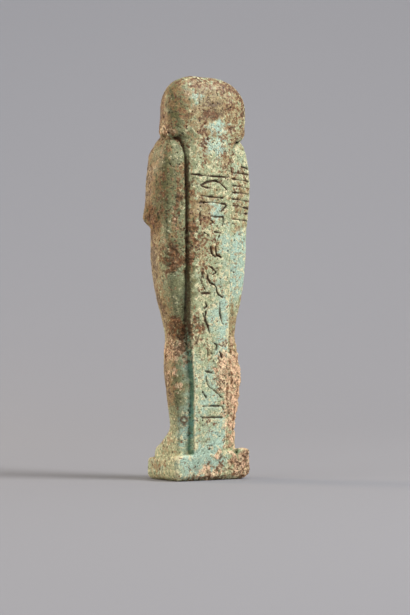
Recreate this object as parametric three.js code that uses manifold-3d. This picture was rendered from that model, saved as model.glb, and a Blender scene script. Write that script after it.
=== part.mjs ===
// A faience ushabti: a small mummiform servant figure moulded in one piece with its low base and back pillar.
// Millimetres, +Z up. The figure faces -Y and its left side is +X. z = 0 is the underside of the base.
import * as THREE from "three";
import { mergeVertices } from "three/addons/utils/BufferGeometryUtils.js";
import Module from "manifold-3d";

const wasm = await Module();
wasm.setup();

// ---- driving dimensions ----

const HEIGHT = 104.4;
const BACK = 9.25; // y of the back pillar's face; depths below are measured forward from it

// The wrapped body as D-shaped sections: its centre, half width, how deep its back lies behind the pillar's
// face, how far its front stands forward of that face, and how square that front is.
const BODY = [
  { z: 4.0, x: -0.2, half: 9.2, back: 2.2, front: 17.5, round: 4.2 }, // inside the base, under the toes
  { z: 7.8, x: -0.2, half: 9.1, back: 2.1, front: 17.2, round: 4.2 }, // toes
  { z: 9.8, x: -0.2, half: 9.1, back: 1.9, front: 14.3, round: 3.6 }, // instep
  { z: 13.6, x: -0.2, half: 9.0, back: 1.8, front: 11.0, round: 2.6 }, // ankle
  { z: 20.5, x: -0.4, half: 10.1, back: 1.4, front: 11.3, round: 2.6 },
  { z: 28.5, x: -0.4, half: 10.7, back: 1.6, front: 12.5, round: 2.6 }, // calf
  { z: 38.0, x: -0.3, half: 9.4, back: 2.4, front: 14.3, round: 2.6 }, // knee
  { z: 48.0, x: -0.3, half: 11.4, back: 1.65, front: 16.5, round: 2.6 }, // thigh
  { z: 57.0, x: -0.2, half: 12.7, back: 1.1, front: 17.2, round: 2.6 }, // hip
  { z: 65.0, x: -0.1, half: 13.1, back: 0.9, front: 16.6, round: 2.6 }, // waist, under the elbows
  { z: 75.5, x: -0.1, half: 14.1, back: 0.85, front: 16.6, round: 2.6 }, // chest and upper arms
  { z: 82.0, x: 0, half: 13.5, back: 1.0, front: 16.0, round: 2.6 },
  { z: 86.8, x: 0, half: 12.3, back: 1.6, front: 14.9, round: 2.6 }, // shoulders
  { z: 89.2, x: 0, half: 10.5, back: 3.2, front: 13.2, round: 2.6 }, // neck, inside the wig
];
const BODY_BACK_ROUND = 3.6; // superellipse exponent of a section's back half; round is that of its front
const BODY_WIDEST = 4.4; // depth at which a section is widest

// The low base, wider behind than before, with an uneven top that rises towards its right rear corner.
const BASE = { left: 11.7, right: 12.2, front: 9.3, depth: 18.5, height: 6.7, edge: 1.1 };
const BASE_ROUND = { rear: 1.8, fore: 4.6 }; // radii of its upright corners
const BASE_TILT = { x: -0.07, y: 0.067 }; // rise of the top for each millimetre along x and y

const PILLAR = { offset: 0.9, foot: 5.2, thigh: 6.15, top: 6.75, edge: 0.35 }; // half widths about x = offset
const PILLAR_LEVELS = { foot: 17, calf: 30, thigh: 45, waist: 62, top: 86 };
const TAIL = { top: 90.4, bottom: 82.5, half: 10.6 }; // where the wig's back narrows into the pillar

const WIG = { half: 12.3, bottom: 88.2, widest: 94.5, mid: 4.5, front: 12.9, dome: 2.55, lean: 3.6 };
const WIG_ROUND = { back: 3.4, front: 2.0 };
const CAP = { half: 8.9, depth: 8.4, front: 16.6, z: 95.4, hairline: 100.2 }; // the wig over the forehead

// One of the wig's two front lappets, from the temple down to the breast.
const LAPPET = [
  { z: 75.4, x: 5.4, half: 2.7, front: 17.4 },
  { z: 82.0, x: 5.4, half: 2.7, front: 16.8 },
  { z: 88.0, x: 5.6, half: 2.2, front: 13.6 },
  { z: 94.0, x: 6.2, half: 1.8, front: 12.7 },
  { z: 100.4, x: 5.9, half: 1.6, front: 12.0 },
];

const FACE = { half: 6.3, depth: 9.0, front: 16.0, chin: 88.5, top: 103.2 };
const JAW = { half: 4.7, z: 91.6, height: 3.2, inset: 0.6 };
const NOSE = { tip: 17.4, z: 93.0, height: 4.2, half: 1.15 };
const EYE = { x: 2.45, z: 96.0, half: 1.5, height: 0.62 };
const BROW = { z: 97.6, inner: 0.9, outer: 4.0 };
const MOUTH = { z: 91.3, half: 1.75, height: 0.5 };
const EAR = { x: 6.5, depth: 12.9, z: 95.2, half: 0.95, height: 2.0 };
const BEARD = { top: 89.4, bottom: 81.2, half: 1.45, depth: 17.6 };

const SHOULDER = { x: 10.0, depth: 9.4, z: 82.9, radius: 3.2 };
const ELBOW = { x: 9.5, depth: 13.1, z: 68.4, radius: 2.6 };
const FIST = { x: 3.9, depth: 16.4, z: 76.6, radius: 2.0 };
const HOE = { radius: 0.55, rise: 8.0, fall: 3.4, lean: 1.4, blade: 3.2 };


// The middle of the furrow beside the pillar, from the shoulder to the knee: how far aside it lies, how much
// of the pillar's offset it shares, its depth and its height.
const FURROW_RADIUS = 0.4;
const FURROW = [
  { aside: 12.0, share: 0, depth: 6.4, z: 88.1 },
  { aside: 10.5, share: 0, depth: 3.4, z: 88.5 },
  { aside: 8.9, share: 0.3, depth: 2.2, z: 87.4 },
  { aside: 7.15, share: 1, depth: 1.25, z: 83.2 },
  { aside: 6.85, share: 1, depth: 1.15, z: 62.0 },
  { aside: 6.4, share: 1, depth: 1.75, z: 48.0 },
  { aside: 5.95, share: 1, depth: 3.0, z: 37.0 },
];

const BAG = { inner: -6.9, outer: -11.6, top: 81.4, bottom: 67.6, lines: 9, width: 0.5, depth: 2.6 };
const WRITING = { centre: 0.05, foot: 16.2, footHalf: 3.4, head: 78.5, headHalf: 4.4, reach: 5.9 };
const STROKE = { width: 0.55, depth: 0.4 };
const CHIP = { x: -8.2, z: 8.6, size: 2.4 }; // broken corner where the base meets the pillar

// ---- solids ----

// Any closed three.js geometry as a solid that can be joined and cut.
function solid(geometry) {
  geometry.deleteAttribute("normal");
  geometry.deleteAttribute("uv");
  const merged = mergeVertices(geometry, 1e-4);
  const vertProperties = new Float32Array(merged.attributes.position.array);
  const triVerts = new Uint32Array(merged.index.array);
  return new wasm.Manifold(new wasm.Mesh({ numProp: 3, vertProperties, triVerts }));
}

function joined(solids) {
  return solids.reduce((whole, next) => whole.add(next));
}

// One size of a list of levels at height z, by a Catmull-Rom curve through the levels.
function sizeAt(levels, key, z) {
  const above = levels.findIndex((level) => level.z >= z);
  if (above === -1) return levels.at(-1)[key];
  if (above === 0) return levels[0][key];
  const [a, b] = [levels[above - 1], levels[above]];
  const before = levels[above - 2] ?? a;
  const after = levels[above + 1] ?? b;
  const span = b.z - a.z;
  const slopeIn = ((b[key] - before[key]) / (b.z - before.z)) * span;
  const slopeOut = ((after[key] - a[key]) / (after.z - a.z)) * span;
  const t = (z - a.z) / span;
  const [t2, t3] = [t * t, t * t * t];
  return a[key] * (2 * t3 - 3 * t2 + 1) + slopeIn * (t3 - 2 * t2 + t)
    + b[key] * (3 * t2 - 2 * t3) + slopeOut * (t3 - t2);
}

// All sizes of a list of levels at height z.
function levelAt(levels, z) {
  return Object.fromEntries(Object.keys(levels[0]).map((key) => [key, sizeAt(levels, key, z)]));
}

// A closed skin over horizontal sections, at heights that height(share) spreads from its foot to its top.
// outline(turn, z) gives the point at that turn around a section; the ends close flat towards centre(z).
function loft({ sides, rows, height, outline, centre }) {
  const geometry = new THREE.CylinderGeometry(1, 1, 1, sides, rows);
  geometry.rotateX(Math.PI / 2);
  const position = geometry.attributes.position;
  for (let i = 0; i < position.count; i += 1) {
    const [x, y] = [position.getX(i), position.getY(i)];
    const z = height(position.getZ(i) + 0.5);
    const point = Math.hypot(x, y) > 0.5 ? outline(Math.atan2(y, x), z) : centre(z);
    position.setXYZ(i, point.x, point.y, z);
  }
  return solid(geometry);
}

function evenly(bottom, top) {
  return (share) => bottom + share * (top - bottom);
}

// A point on a D-shaped section: one superellipse half behind the widest depth and another before it.
function sectionPoint(turn, { x = 0, half, back, mid, front }, round) {
  const [c, s] = [Math.cos(turn), Math.sin(turn)];
  const exponent = 2 / (s > 0 ? round.back : round.front);
  const reach = s > 0 ? mid - back : front - mid;
  const depth = mid - Math.sign(s) * reach * Math.abs(s) ** exponent;
  return { x: x + half * Math.sign(c) * Math.abs(c) ** exponent, y: BACK - depth };
}

function ellipsoid(x, depth, z, halfX, halfY, halfZ, segments) {
  const geometry = new THREE.SphereGeometry(1, segments, Math.round(segments * 0.6));
  geometry.scale(halfX, halfY, halfZ);
  geometry.translate(x, BACK - depth, z);
  return solid(geometry);
}

// A rod with round ends from one point to another, each given as [x, depth, z] with its own radius.
function rod(from, to, radiusFrom, radiusTo, segments) {
  const [a, b] = [from, to].map(([x, depth, z]) => new THREE.Vector3(x, BACK - depth, z));
  const along = b.clone().sub(a);
  const geometry = new THREE.SphereGeometry(1, segments, 7);
  const position = geometry.attributes.position;
  for (let i = 0; i < position.count; i += 1) {
    const far = position.getY(i) > 0;
    const radius = far ? radiusTo : radiusFrom;
    const lift = far ? along.length() : 0;
    const [x, y, z] = [position.getX(i), position.getY(i), position.getZ(i)];
    position.setXYZ(i, x * radius, y * radius + lift, z * radius);
  }
  const turn = new THREE.Quaternion().setFromUnitVectors(new THREE.Vector3(0, 1, 0), along.normalize());
  geometry.applyQuaternion(turn);
  geometry.translate(a.x, a.y, a.z);
  return solid(geometry);
}

// A plate drawn as a shape in x and z, standing from one depth to another with softened edges.
function plate(shape, nearDepth, farDepth, edge, curveSegments) {
  const geometry = new THREE.ExtrudeGeometry(shape, {
    depth: farDepth - nearDepth - 2 * edge,
    bevelThickness: edge,
    bevelSize: edge,
    bevelOffset: -edge,
    bevelSegments: 2,
    curveSegments,
  });
  geometry.rotateX(Math.PI / 2);
  geometry.translate(0, BACK - nearDepth - edge, 0);
  return solid(geometry);
}

// ---- the figure's forms ----

function body() {
  return loft({
    sides: 36,
    rows: 24,
    height: evenly(BODY[0].z, BODY.at(-1).z),
    outline: (turn, z) => {
      const section = { ...levelAt(BODY, z), mid: BODY_WIDEST };
      return sectionPoint(turn, section, { back: BODY_BACK_ROUND, front: section.round });
    },
    centre: () => ({ x: 0, y: BACK - BODY_WIDEST }),
  });
}

function baseShape() {
  const { left, right, front, depth } = BASE;
  const { rear, fore } = BASE_ROUND;
  const y = (distance) => BACK - distance;
  const shape = new THREE.Shape();
  shape.moveTo(-right + rear, y(0));
  shape.quadraticCurveTo(-right, y(0), -right, y(rear));
  shape.lineTo(-front - 0.6, y(depth - fore));
  shape.quadraticCurveTo(-front, y(depth), -front + fore, y(depth));
  shape.lineTo(front - fore, y(depth));
  shape.quadraticCurveTo(front, y(depth), front + 0.6, y(depth - fore));
  shape.lineTo(left, y(rear));
  shape.quadraticCurveTo(left, y(0), left - rear, y(0));
  shape.closePath();
  return shape;
}

function base() {
  const { height, edge } = BASE;
  const geometry = new THREE.ExtrudeGeometry(baseShape(), {
    depth: height - 2 * edge,
    bevelThickness: edge,
    bevelSize: edge,
    bevelOffset: -edge,
    bevelSegments: 3,
    curveSegments: 6,
  });
  geometry.translate(0, 0, edge);
  const position = geometry.attributes.position;
  for (let i = 0; i < position.count; i += 1) {
    const tilt = BASE_TILT.x * position.getX(i) + BASE_TILT.y * position.getY(i);
    position.setZ(i, position.getZ(i) * (1 + tilt / height));
  }
  return solid(geometry);
}

function pillar() {
  const { offset, foot, thigh, top, edge } = PILLAR;
  const level = PILLAR_LEVELS;
  const shape = new THREE.Shape();
  shape.moveTo(offset - foot, BASE.edge);
  shape.lineTo(offset + foot, BASE.edge);
  shape.lineTo(offset + foot, level.foot);
  shape.quadraticCurveTo(offset + foot + 0.2, level.calf, offset + thigh, level.thigh);
  shape.quadraticCurveTo(offset + top - 0.2, level.waist, offset + top, level.top);
  shape.lineTo(offset - top, level.top);
  shape.quadraticCurveTo(offset - top + 0.2, level.waist, offset - thigh, level.thigh);
  shape.quadraticCurveTo(offset - foot - 0.2, level.calf, offset - foot, level.foot);
  shape.closePath();
  return plate(shape, 0, 8, edge, 8);
}

// The wig's back: it narrows in a curve from the wig's width to the pillar's.
function wigTail() {
  const { top, bottom, half } = TAIL;
  return loft({
    sides: 20,
    rows: 6,
    height: evenly(bottom, top),
    outline: (turn, z) => {
      const spread = ((z - bottom) / (top - bottom)) ** 1.8;
      const section = {
        x: PILLAR.offset * (1 - spread),
        half: PILLAR.top + (half - PILLAR.top) * spread,
        back: 0,
        mid: 3 + 1.5 * spread,
        front: 9,
      };
      return sectionPoint(turn, section, { back: 9 - 5 * spread, front: 3 });
    },
    centre: () => ({ x: 0, y: BACK - 5 }),
  });
}

function wig() {
  const { half, bottom, widest, mid, front, dome, lean } = WIG;
  const straight = 0.2; // share of the rows below the dome
  const domed = (share) => Math.sin(((share - straight) / (1 - straight)) * Math.PI / 2) ** (2 / dome);
  return loft({
    sides: 36,
    rows: 10,
    height: (share) => (share < straight
      ? bottom + (share / straight) * (widest - bottom)
      : widest + domed(share) * (HEIGHT - widest)),
    outline: (turn, z) => {
      const share = Math.max(0, (z - widest) / (HEIGHT - widest));
      const round = Math.max(0.05, (1 - share ** dome) ** (1 / dome));
      const gather = 1 - 0.085 * Math.max(0, (widest - z) / (widest - bottom)) ** 2.2;
      const section = {
        half: half * round * gather,
        back: lean * (1 - round),
        mid,
        front: mid + (front - mid) * round,
      };
      return sectionPoint(turn, section, WIG_ROUND);
    },
    centre: () => ({ x: 0, y: BACK - mid }),
  });
}

// The wig's front over the forehead, ending in a level hairline.
function cap() {
  const { half, depth, front, z, hairline } = CAP;
  const crown = ellipsoid(0, depth, z, half, front - depth, HEIGHT - 0.4 - z, 22);
  const below = new THREE.BoxGeometry(3 * half, 3 * half, 3 * half);
  below.translate(0, BACK - depth - 1.5 * half, hairline - 1.5 * half);
  return crown.subtract(solid(below));
}

function lappet(side) {
  return loft({
    sides: 14,
    rows: 8,
    height: evenly(LAPPET[0].z, LAPPET.at(-1).z),
    outline: (turn, z) => {
      const { x, half, front } = levelAt(LAPPET, z);
      const section = { x: side * x, half, back: 7, mid: front - 1.2, front };
      return sectionPoint(turn, section, { back: 5, front: 2.8 });
    },
    centre: (z) => ({ x: side * sizeAt(LAPPET, "x", z), y: BACK - 10 }),
  });
}

function face() {
  const { half, depth, front, chin, top } = FACE;
  const skull = ellipsoid(0, depth, (chin + top) / 2, half, front - depth, (top - chin) / 2, 22);
  const jaw = ellipsoid(0, depth + JAW.inset, JAW.z, JAW.half, front - depth - 2 * JAW.inset, JAW.height, 14);
  return joined([skull, jaw, nose(), ...[-1, 1].flatMap(eyeAndEar), ...lips()]);
}

function nose() {
  const { tip, z, height, half } = NOSE;
  const shape = new THREE.Shape();
  shape.moveTo(-0.45, z + height);
  shape.lineTo(0.45, z + height);
  shape.lineTo(half, z + 0.3);
  shape.quadraticCurveTo(half, z - 0.5, 0, z - 0.5);
  shape.quadraticCurveTo(-half, z - 0.5, -half, z + 0.3);
  shape.closePath();
  const length = 6;
  const geometry = new THREE.ExtrudeGeometry(shape, { depth: length, bevelEnabled: false, curveSegments: 3 });
  geometry.rotateX(Math.PI / 2);
  geometry.translate(0, BACK - tip + length, 0);
  const position = geometry.attributes.position;
  for (let i = 0; i < position.count; i += 1) {
    const rise = Math.max(0, (position.getZ(i) - z) / height);
    position.setY(i, position.getY(i) + rise * (tip - FACE.front + 0.3));
  }
  return solid(geometry);
}

function eyeAndEar(side) {
  const faceAtEye = FACE.front - 0.6;
  const inner = [side * BROW.inner, faceAtEye + 0.2, BROW.z];
  const outer = [side * BROW.outer, faceAtEye - 1.2, BROW.z - 0.3];
  return [
    ellipsoid(side * EYE.x, faceAtEye - 0.4, EYE.z, EYE.half, 0.65, EYE.height, 10),
    rod(inner, outer, 0.4, 0.3, 6),
    ellipsoid(side * EAR.x, EAR.depth, EAR.z, EAR.half, 1.0, EAR.height, 10),
  ];
}

function lips() {
  const { z, half, height } = MOUTH;
  const depth = FACE.front - 0.7;
  return [
    ellipsoid(0, depth, z + height * 0.75, half, 0.75, height, 10),
    ellipsoid(0, depth, z - height * 0.75, half * 0.85, 0.75, height, 10),
  ];
}

function beard() {
  const { top, bottom, half, depth } = BEARD;
  return rod([0, depth - half - 0.6, top], [0, depth - half, bottom + half], half * 0.8, half, 10);
}

// One arm: down the side from the shoulder to the elbow, then across the breast to a fist on the other side.
function arm(side) {
  const at = ({ x, depth, z }, reach = 1) => [side * reach * x, depth, z];
  const upper = rod(at(SHOULDER), at(ELBOW), SHOULDER.radius, ELBOW.radius, 13);
  const fore = rod(at(ELBOW), at(FIST, -0.7), ELBOW.radius - 0.3, FIST.radius - 0.2, 13);
  const { radius } = FIST;
  const fist = ellipsoid(-side * FIST.x, FIST.depth, FIST.z, radius, radius, radius * 0.85, 11);
  return joined([upper, fore, fist]);
}

// A hoe held upright in a fist, with its blade turned down over the shoulder.
function hoe(side) {
  const { radius, rise, fall, lean, blade } = HOE;
  const x = side * (FIST.x + 0.1);
  const depth = FIST.depth + FIST.radius - 0.5;
  const head = [x + side * lean, depth - 0.4, FIST.z + rise];
  const tip = [x + side * (lean + blade), depth - 2.6, FIST.z + rise - 1.6];
  return rod([x, depth, FIST.z - fall], head, radius, radius, 6).add(rod(head, tip, radius, radius * 1.5, 6));
}

// ---- cuts ----

// The furrow that parts a shoulder, arm and thigh from the wig's tail and the pillar's side wall.
function furrow(side) {
  const path = FURROW.map(({ aside, share, depth, z }) => [PILLAR.offset * share + side * aside, depth, z]);
  return joined(path.slice(1).map((point, i) => rod(path[i], point, FURROW_RADIUS, FURROW_RADIUS, 6)));
}

// A short straight cut in a vertical face, from one [x, z] to another.
function stroke(from, to, width, nearDepth, farDepth) {
  const [a, b] = [new THREE.Vector2(...from), new THREE.Vector2(...to)];
  const along = b.clone().sub(a);
  const geometry = new THREE.BoxGeometry(along.length() + width, farDepth - nearDepth, width);
  geometry.rotateY(-along.angle());
  geometry.translate((a.x + b.x) / 2, BACK - (nearDepth + farDepth) / 2, (a.y + b.y) / 2);
  return solid(geometry);
}

// The hatched seed bag behind the right shoulder.
function bagLines() {
  const { inner, outer, top, bottom, lines, width, depth } = BAG;
  const pitch = (top - bottom) / (lines - 1);
  return Array.from({ length: lines }, (_, i) => {
    const z = bottom + i * pitch;
    const reach = i === lines - 1 ? (inner + outer) / 2 : inner;
    return stroke([outer, z], [reach, z], width, -1, depth);
  });
}

// Marks of the column on the pillar: plain strokes with no meaning, in a box one unit wide and one high.
const MARKS = {
  bow: [[[0.08, 0.3], [0.45, 0.9]], [[0.45, 0.9], [1, 0.05]]],
  bar: [[[0.05, 0.65], [0.85, 0.4]]],
  hookedBar: [[[0, 0.9], [0.97, 0.88]], [[1, 0.7], [0.8, 0.05]]],
  corner: [[[0.02, 1], [0.02, 0]], [[0.42, 0.74], [0.88, 0.72]], [[0.88, 0.72], [0.87, 0.05]]],
  crook: [
    [[0.15, 0.97], [0.32, 0.86]], [[0.58, 1], [0.82, 0.97]], [[0.76, 0.9], [0.62, 0.25]],
    [[0.62, 0.25], [0.82, 0.03]], [[0.42, 0.42], [0.5, 0.1]],
  ],
  bend: [
    [[0.3, 1], [0.6, 0.78]],
    [[0.06, 0.78], [0.16, 0.25]],
    [[0.22, 0.82], [0.58, 0.36]],
    [[0.58, 0.36], [0.9, 0]],
  ],
  shortBar: [[[0, 0.5], [0.4, 0.5]]],
  posts: [[[0.16, 1], [0.2, 0.8]], [[0.18, 0.68], [0.34, 0]], [[0.8, 1], [0.88, 0.3]]],
  ticks: [[[0.46, 1], [0.65, 0.6]], [[0.3, 0.6], [0.28, 0.1]], [[0.8, 0.4], [0.9, 0.05]]],
  slope: [[[0.15, 1], [0.45, 0.94]], [[0.2, 0.78], [0.28, 0.45]], [[0.28, 0.45], [0.88, 0]]],
  rule: [[[0.03, 0.5], [0.92, 0.5]]],
};

// The column from its head to its foot: each mark, the height of its middle and how tall it is.
const COLUMN = [
  ["bow", 76.3, 2.4], ["bar", 73.1, 1], ["hookedBar", 70.5, 2.4], ["corner", 67.3, 3.2], ["crook", 60.7, 6.8],
  ["bend", 51.3, 8], ["shortBar", 48.3, 1], ["posts", 42, 7.8], ["ticks", 33.6, 4.4], ["slope", 24.8, 6.7],
  ["rule", 19.2, 1], ["rule", 16.2, 1],
];

function writing() {
  const { centre, foot, footHalf, head, headHalf, reach } = WRITING;
  const cut = (from, to) => stroke(from, to, STROKE.width, -1, STROKE.depth);
  const marks = COLUMN.flatMap(([name, middle, tall]) => {
    const half = footHalf + (headHalf - footHalf) * (middle - foot) / (head - foot);
    const at = ([u, w]) => [centre + (0.5 - u) * 2 * half, middle + (w - 0.5) * tall];
    return MARKS[name].map(([from, to]) => cut(at(from), at(to)));
  });
  return [...marks, cut([PILLAR.offset - reach, head], [PILLAR.offset + reach, head])];
}

// The broken corner beside the pillar's foot.
function chip() {
  const geometry = new THREE.TetrahedronGeometry(CHIP.size);
  geometry.rotateZ(0.5);
  geometry.translate(CHIP.x, BACK + 0.6, CHIP.z);
  return solid(geometry);
}

function figure() {
  const whole = joined([
    body(), base(), wig(), wigTail(), cap(), face(), beard(),
    ...[-1, 1].flatMap((side) => [lappet(side), arm(side), hoe(side)]),
  ]);
  const parted = [-1, 1].reduce((left, side) => left.subtract(furrow(side)), whole).add(pillar());
  return [...bagLines(), ...writing(), chip()].reduce((left, cut) => left.subtract(cut), parted);
}

function meshOf(name, shape, material) {
  const { vertProperties, triVerts } = shape.getMesh();
  const geometry = new THREE.BufferGeometry();
  geometry.setAttribute("position", new THREE.BufferAttribute(vertProperties, 3));
  geometry.setIndex(new THREE.BufferAttribute(triVerts, 1));
  const mesh = new THREE.Mesh(geometry, material);
  mesh.name = name;
  return mesh;
}

const faience = new THREE.MeshStandardMaterial({
  color: 0x9db79a,
  roughness: 0.6,
  metalness: 0,
  flatShading: true,
});

const ushabti = new THREE.Group();
ushabti.add(meshOf("ushabti_figure", figure(), faience));

export default ushabti;
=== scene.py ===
"""Looks of a faience ushabti: a worn, pitted and crusted figure in one piece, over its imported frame.

The figure is a field of distances made from the same named sizes as its solid. The field is skinned, then
cut, pitted and crusted by Geometry Nodes. The figure faces -Y and its left is +X. A depth is measured
forward from the face of the back pillar. The field is in millimetres and the objects are in metres.
"""

import itertools
import math

import bpy
import numpy as np
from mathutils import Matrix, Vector


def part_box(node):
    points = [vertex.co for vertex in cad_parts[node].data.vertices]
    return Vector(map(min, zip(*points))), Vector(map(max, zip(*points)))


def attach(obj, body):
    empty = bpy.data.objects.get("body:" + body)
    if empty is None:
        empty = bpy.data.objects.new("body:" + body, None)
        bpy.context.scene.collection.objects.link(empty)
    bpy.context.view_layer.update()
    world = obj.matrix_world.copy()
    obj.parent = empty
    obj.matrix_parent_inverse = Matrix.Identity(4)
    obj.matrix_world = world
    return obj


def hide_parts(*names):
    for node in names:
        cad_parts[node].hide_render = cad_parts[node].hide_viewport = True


bl_info = {
    "name": "Faience ushabti",
    "version": (1, 0, 0),
    "blender": (4, 5, 0),
    "location": "3D View > Sidebar > Ushabti",
    "description": "Builds a worn faience servant figure and a plain studio around its frame",
    "category": "Object",
}

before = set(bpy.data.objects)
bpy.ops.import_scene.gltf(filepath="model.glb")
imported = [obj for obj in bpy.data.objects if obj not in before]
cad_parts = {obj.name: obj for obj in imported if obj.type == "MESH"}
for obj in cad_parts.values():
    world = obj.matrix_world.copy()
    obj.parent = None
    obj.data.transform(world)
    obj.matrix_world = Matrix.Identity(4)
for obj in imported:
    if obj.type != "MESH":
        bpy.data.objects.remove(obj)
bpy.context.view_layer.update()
NODE = "ushabti_figure"
MM = 0.001
HIGH = np.array(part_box(NODE)[1]) / MM
HEIGHT = float(HIGH[2])
BACK = float(HIGH[1])

# ---- forms of the figure, in millimetres ----

# Sections of the wrapped body: height, centre, half width, depth of the back, depth of the front, and how
# square the front is.
BODY = (
    (4, -0.2, 9.2, 2.2, 17.5, 4.2),  # inside the base, under the toes
    (7.8, -0.2, 9.1, 2.1, 17.2, 4.2),  # toes
    (9.8, -0.2, 9.1, 1.9, 14.3, 3.6),  # instep
    (13.6, -0.2, 9, 1.8, 11, 2.6),  # ankle
    (20.5, -0.4, 10.1, 1.4, 11.3, 2.6),
    (28.5, -0.4, 10.7, 1.6, 12.5, 2.6),  # calf
    (38, -0.3, 9.4, 2.4, 14.3, 2.6),  # knee
    (48, -0.3, 11.4, 1.65, 16.5, 2.6),  # thigh
    (57, -0.1, 12.6, 1.1, 17.2, 2.6),  # hip
    (65, 0, 13, 0.9, 16.6, 2.6),  # waist
    (75.5, -0.1, 14.1, 0.85, 16.6, 2.6),  # chest and upper arms
    (82, 0, 13.5, 1, 16, 2.6),
    (86.8, 0, 12.3, 1.6, 14.9, 2.6),  # shoulders
    (89.2, 0, 10.5, 3.2, 13.2, 2.6),  # neck
)
BODY_BACK_ROUND = 3.6
BODY_WIDEST = 4.4

BASE = {"left": 11.7, "right": 12.2, "front": 9.3, "depth": 18.5, "height": 6.7}
BASE_ROUND = {"rear": 1.1, "fore": 4, "top": 1, "bottom": 2}
BASE_TILT = (-0.07, 0.067)  # rise of the top along x and along y

PILLAR = {"offset": 0.9, "depth": 8, "edge": 0.4, "foot": 1.2, "top": 87}
PILLAR_HALF = (  # height, half width
    (0, 5.1), (16, 5.1), (25, 5.1), (31, 5.55), (37, 6),
    (46, 6.2), (62, 6.6), (80, 6.75), (95, 6.75),
)
TAIL = {"top": 90.4, "bottom": 82.5, "half": 10.6}

WIG = {"half": 12.3, "bottom": 88.2, "widest": 94.5, "mid": 4.5, "front": 12.9, "dome": 2.55, "lean": 4.2}
WIG_RIM = {"round": 2, "flare": 0.4, "sway": 0.9}  # its rounded edge, and its lean below and above
WIG_ROUND = (3.4, 2)  # how square its back and its front are
CAP = {"half": 8.9, "depth": 8.4, "front": 16.6, "z": 95.4, "hairline": 100.2}
LAPPET = (  # height, centre, half width, front
    (75.4, 5.4, 2.7, 17.4),
    (82, 5.4, 2.7, 16.8),
    (88, 5.6, 2.2, 13.6),
    (94, 6.2, 1.8, 12.7),
    (101, 5.9, 1.6, 12),
)

FACE = {"half": 6.3, "depth": 9, "front": 16, "chin": 88.5, "top": 103.2}
FACE_LUMPS = (  # centre, radii and blend of the jaw, cheeks and chin
    ((0, 9.6, 91.6), (4.7, 5.8, 3.2), 0.8),
    ((3.1, 13.4, 93.6), (2.1, 1.9, 2.1), 1.2),
    ((-3.1, 13.4, 93.6), (2.1, 1.9, 2.1), 1.2),
    ((0, 14.6, 89.7), (1.6, 1.2, 1.1), 0.8),
)
NOSE_RIDGE = ((0, 15.7, 97.4), (0, 16.75, 93.5), 0.42, 0.62)
NOSE_LUMPS = (  # its tip and wings
    ((0, 16.75, 93.3), (0.78, 0.7, 0.62), 0.3),
    ((0.8, 16.2, 93.1), (0.48, 0.6, 0.45), 0.25),
    ((-0.8, 16.2, 93.1), (0.48, 0.6, 0.45), 0.25),
)
EYE = {"x": 2.5, "z": 96, "half": 1.5, "height": 0.66, "depth": 15.15}
BROW = ((0.9, 15.75, 97.35), (2.5, 15.6, 98), (4.2, 14.5, 97.7), (5, 13.5, 97))
UPPER_LIP = (
    (-1.75, 15.35, 91.45), (-0.5, 15.95, 91.85), (0, 15.98, 91.72), (0.5, 15.95, 91.85), (1.75, 15.35, 91.45),
)
LOWER_LIP = ((-1.4875, 15.25, 91.25), (0, 15.8, 90.85), (1.4875, 15.25, 91.25))
MOUTH = ((-1.3, 16.05, 91.33), (1.3, 16.05, 91.33), 0.16)
EAR = (6.55, 13.2, 95.2)
EAR_RIM = (  # about the ear's middle
    (0, -0.1, -1.5), (0.35, -0.7, -0.3), (0.4, -0.75, 0.9), (0.1, -0.2, 1.75),
    (-0.25, 0.45, 1.4), (-0.3, 0.6, 0.7),
)
BEARD = {"top": 89.4, "bottom": 82.65, "radius": 1.45, "front": 17.6}

SHOULDER = (10, 9.4, 82.9)  # x, depth and z, as of the elbow and fist
ELBOW = (9.5, 13.1, 68.4)
FIST = (3.9, 16.4, 76.6)
ARM_RADII = {"upper": (3.2, 2.6), "lower": (2.4, 1.8), "fist": (2, 2, 1.7)}
HOE = {"radius": 0.55, "rise": 8, "fall": 3.4, "lean": 1.4, "blade": 3.2}

FURROW_RADIUS = 0.28
FURROW = (  # distance aside, share of the pillar's offset, depth, height: from the shoulder to the knee
    (12, 0, 6.4, 88.1), (10.5, 0, 3.3, 88.5), (9, 0.3, 2.1, 87.5), (8, 0.5, 1.55, 85.7),
    (7.1, 1, 1.2, 83), (6.95, 1, 1.1, 76), (6.85, 1, 1.1, 62), (6.45, 1, 1.7, 48),
    (6.3, 1, 2.6, 38),
)
CHIPS = (  # lost flakes, as centre and radii
    ((-7.5, -0.2, 7.9), (1.2, 1.8, 1.5)), ((-8.8, -0.5, 6.4), (1.1, 1, 0.9)),  # broken corner of the base
    ((-7.6, -0.5, 3.9), (0.8, 0.9, 1.2)), ((-10.6, -0.5, 3.2), (1.3, 0.9, 0.8)),
    ((-12.6, 1.2, 0), (2.2, 2.6, 1.6)), ((12.8, 0.6, -0.4), (2.6, 2.6, 2.2)),
    ((-5.75, -0.2, 57), (0.5, 0.9, 1.3)), ((-1.5, -0.75, 6.9), (1.3, 1.1, 1.2)),  # pillar's edge and foot
    ((4, -0.6, 0), (2.6, 1.3, 1)), ((-4.2, -0.4, 0), (2, 1.1, 0.9)),
    ((-1.4, -0.6, 2.2), (1.2, 0.85, 0.6)),
)
WAVES = ((5.2, 3, 1), (1.9, 4, 0.5), (0.95, 5, 0.45))  # length, seed and strength
BLEND = {  # how softly each form runs into those before it
    "arm": 1, "wig": 0.9, "tail": 0.5, "cap": 0.4, "beard": 0.25, "lappet": 0.3, "hoe": 0.2, "furrow": 0.3,
    "pillar": 0.12, "base": 0.5, "chip": 0.25, "nose": 0.6, "socket": 0.6, "eyeball": 0.05, "lid": 0.12,
    "brow": 0.3, "ear": 0.2, "lips": 0.22, "mouth": 0.12,
}
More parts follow.
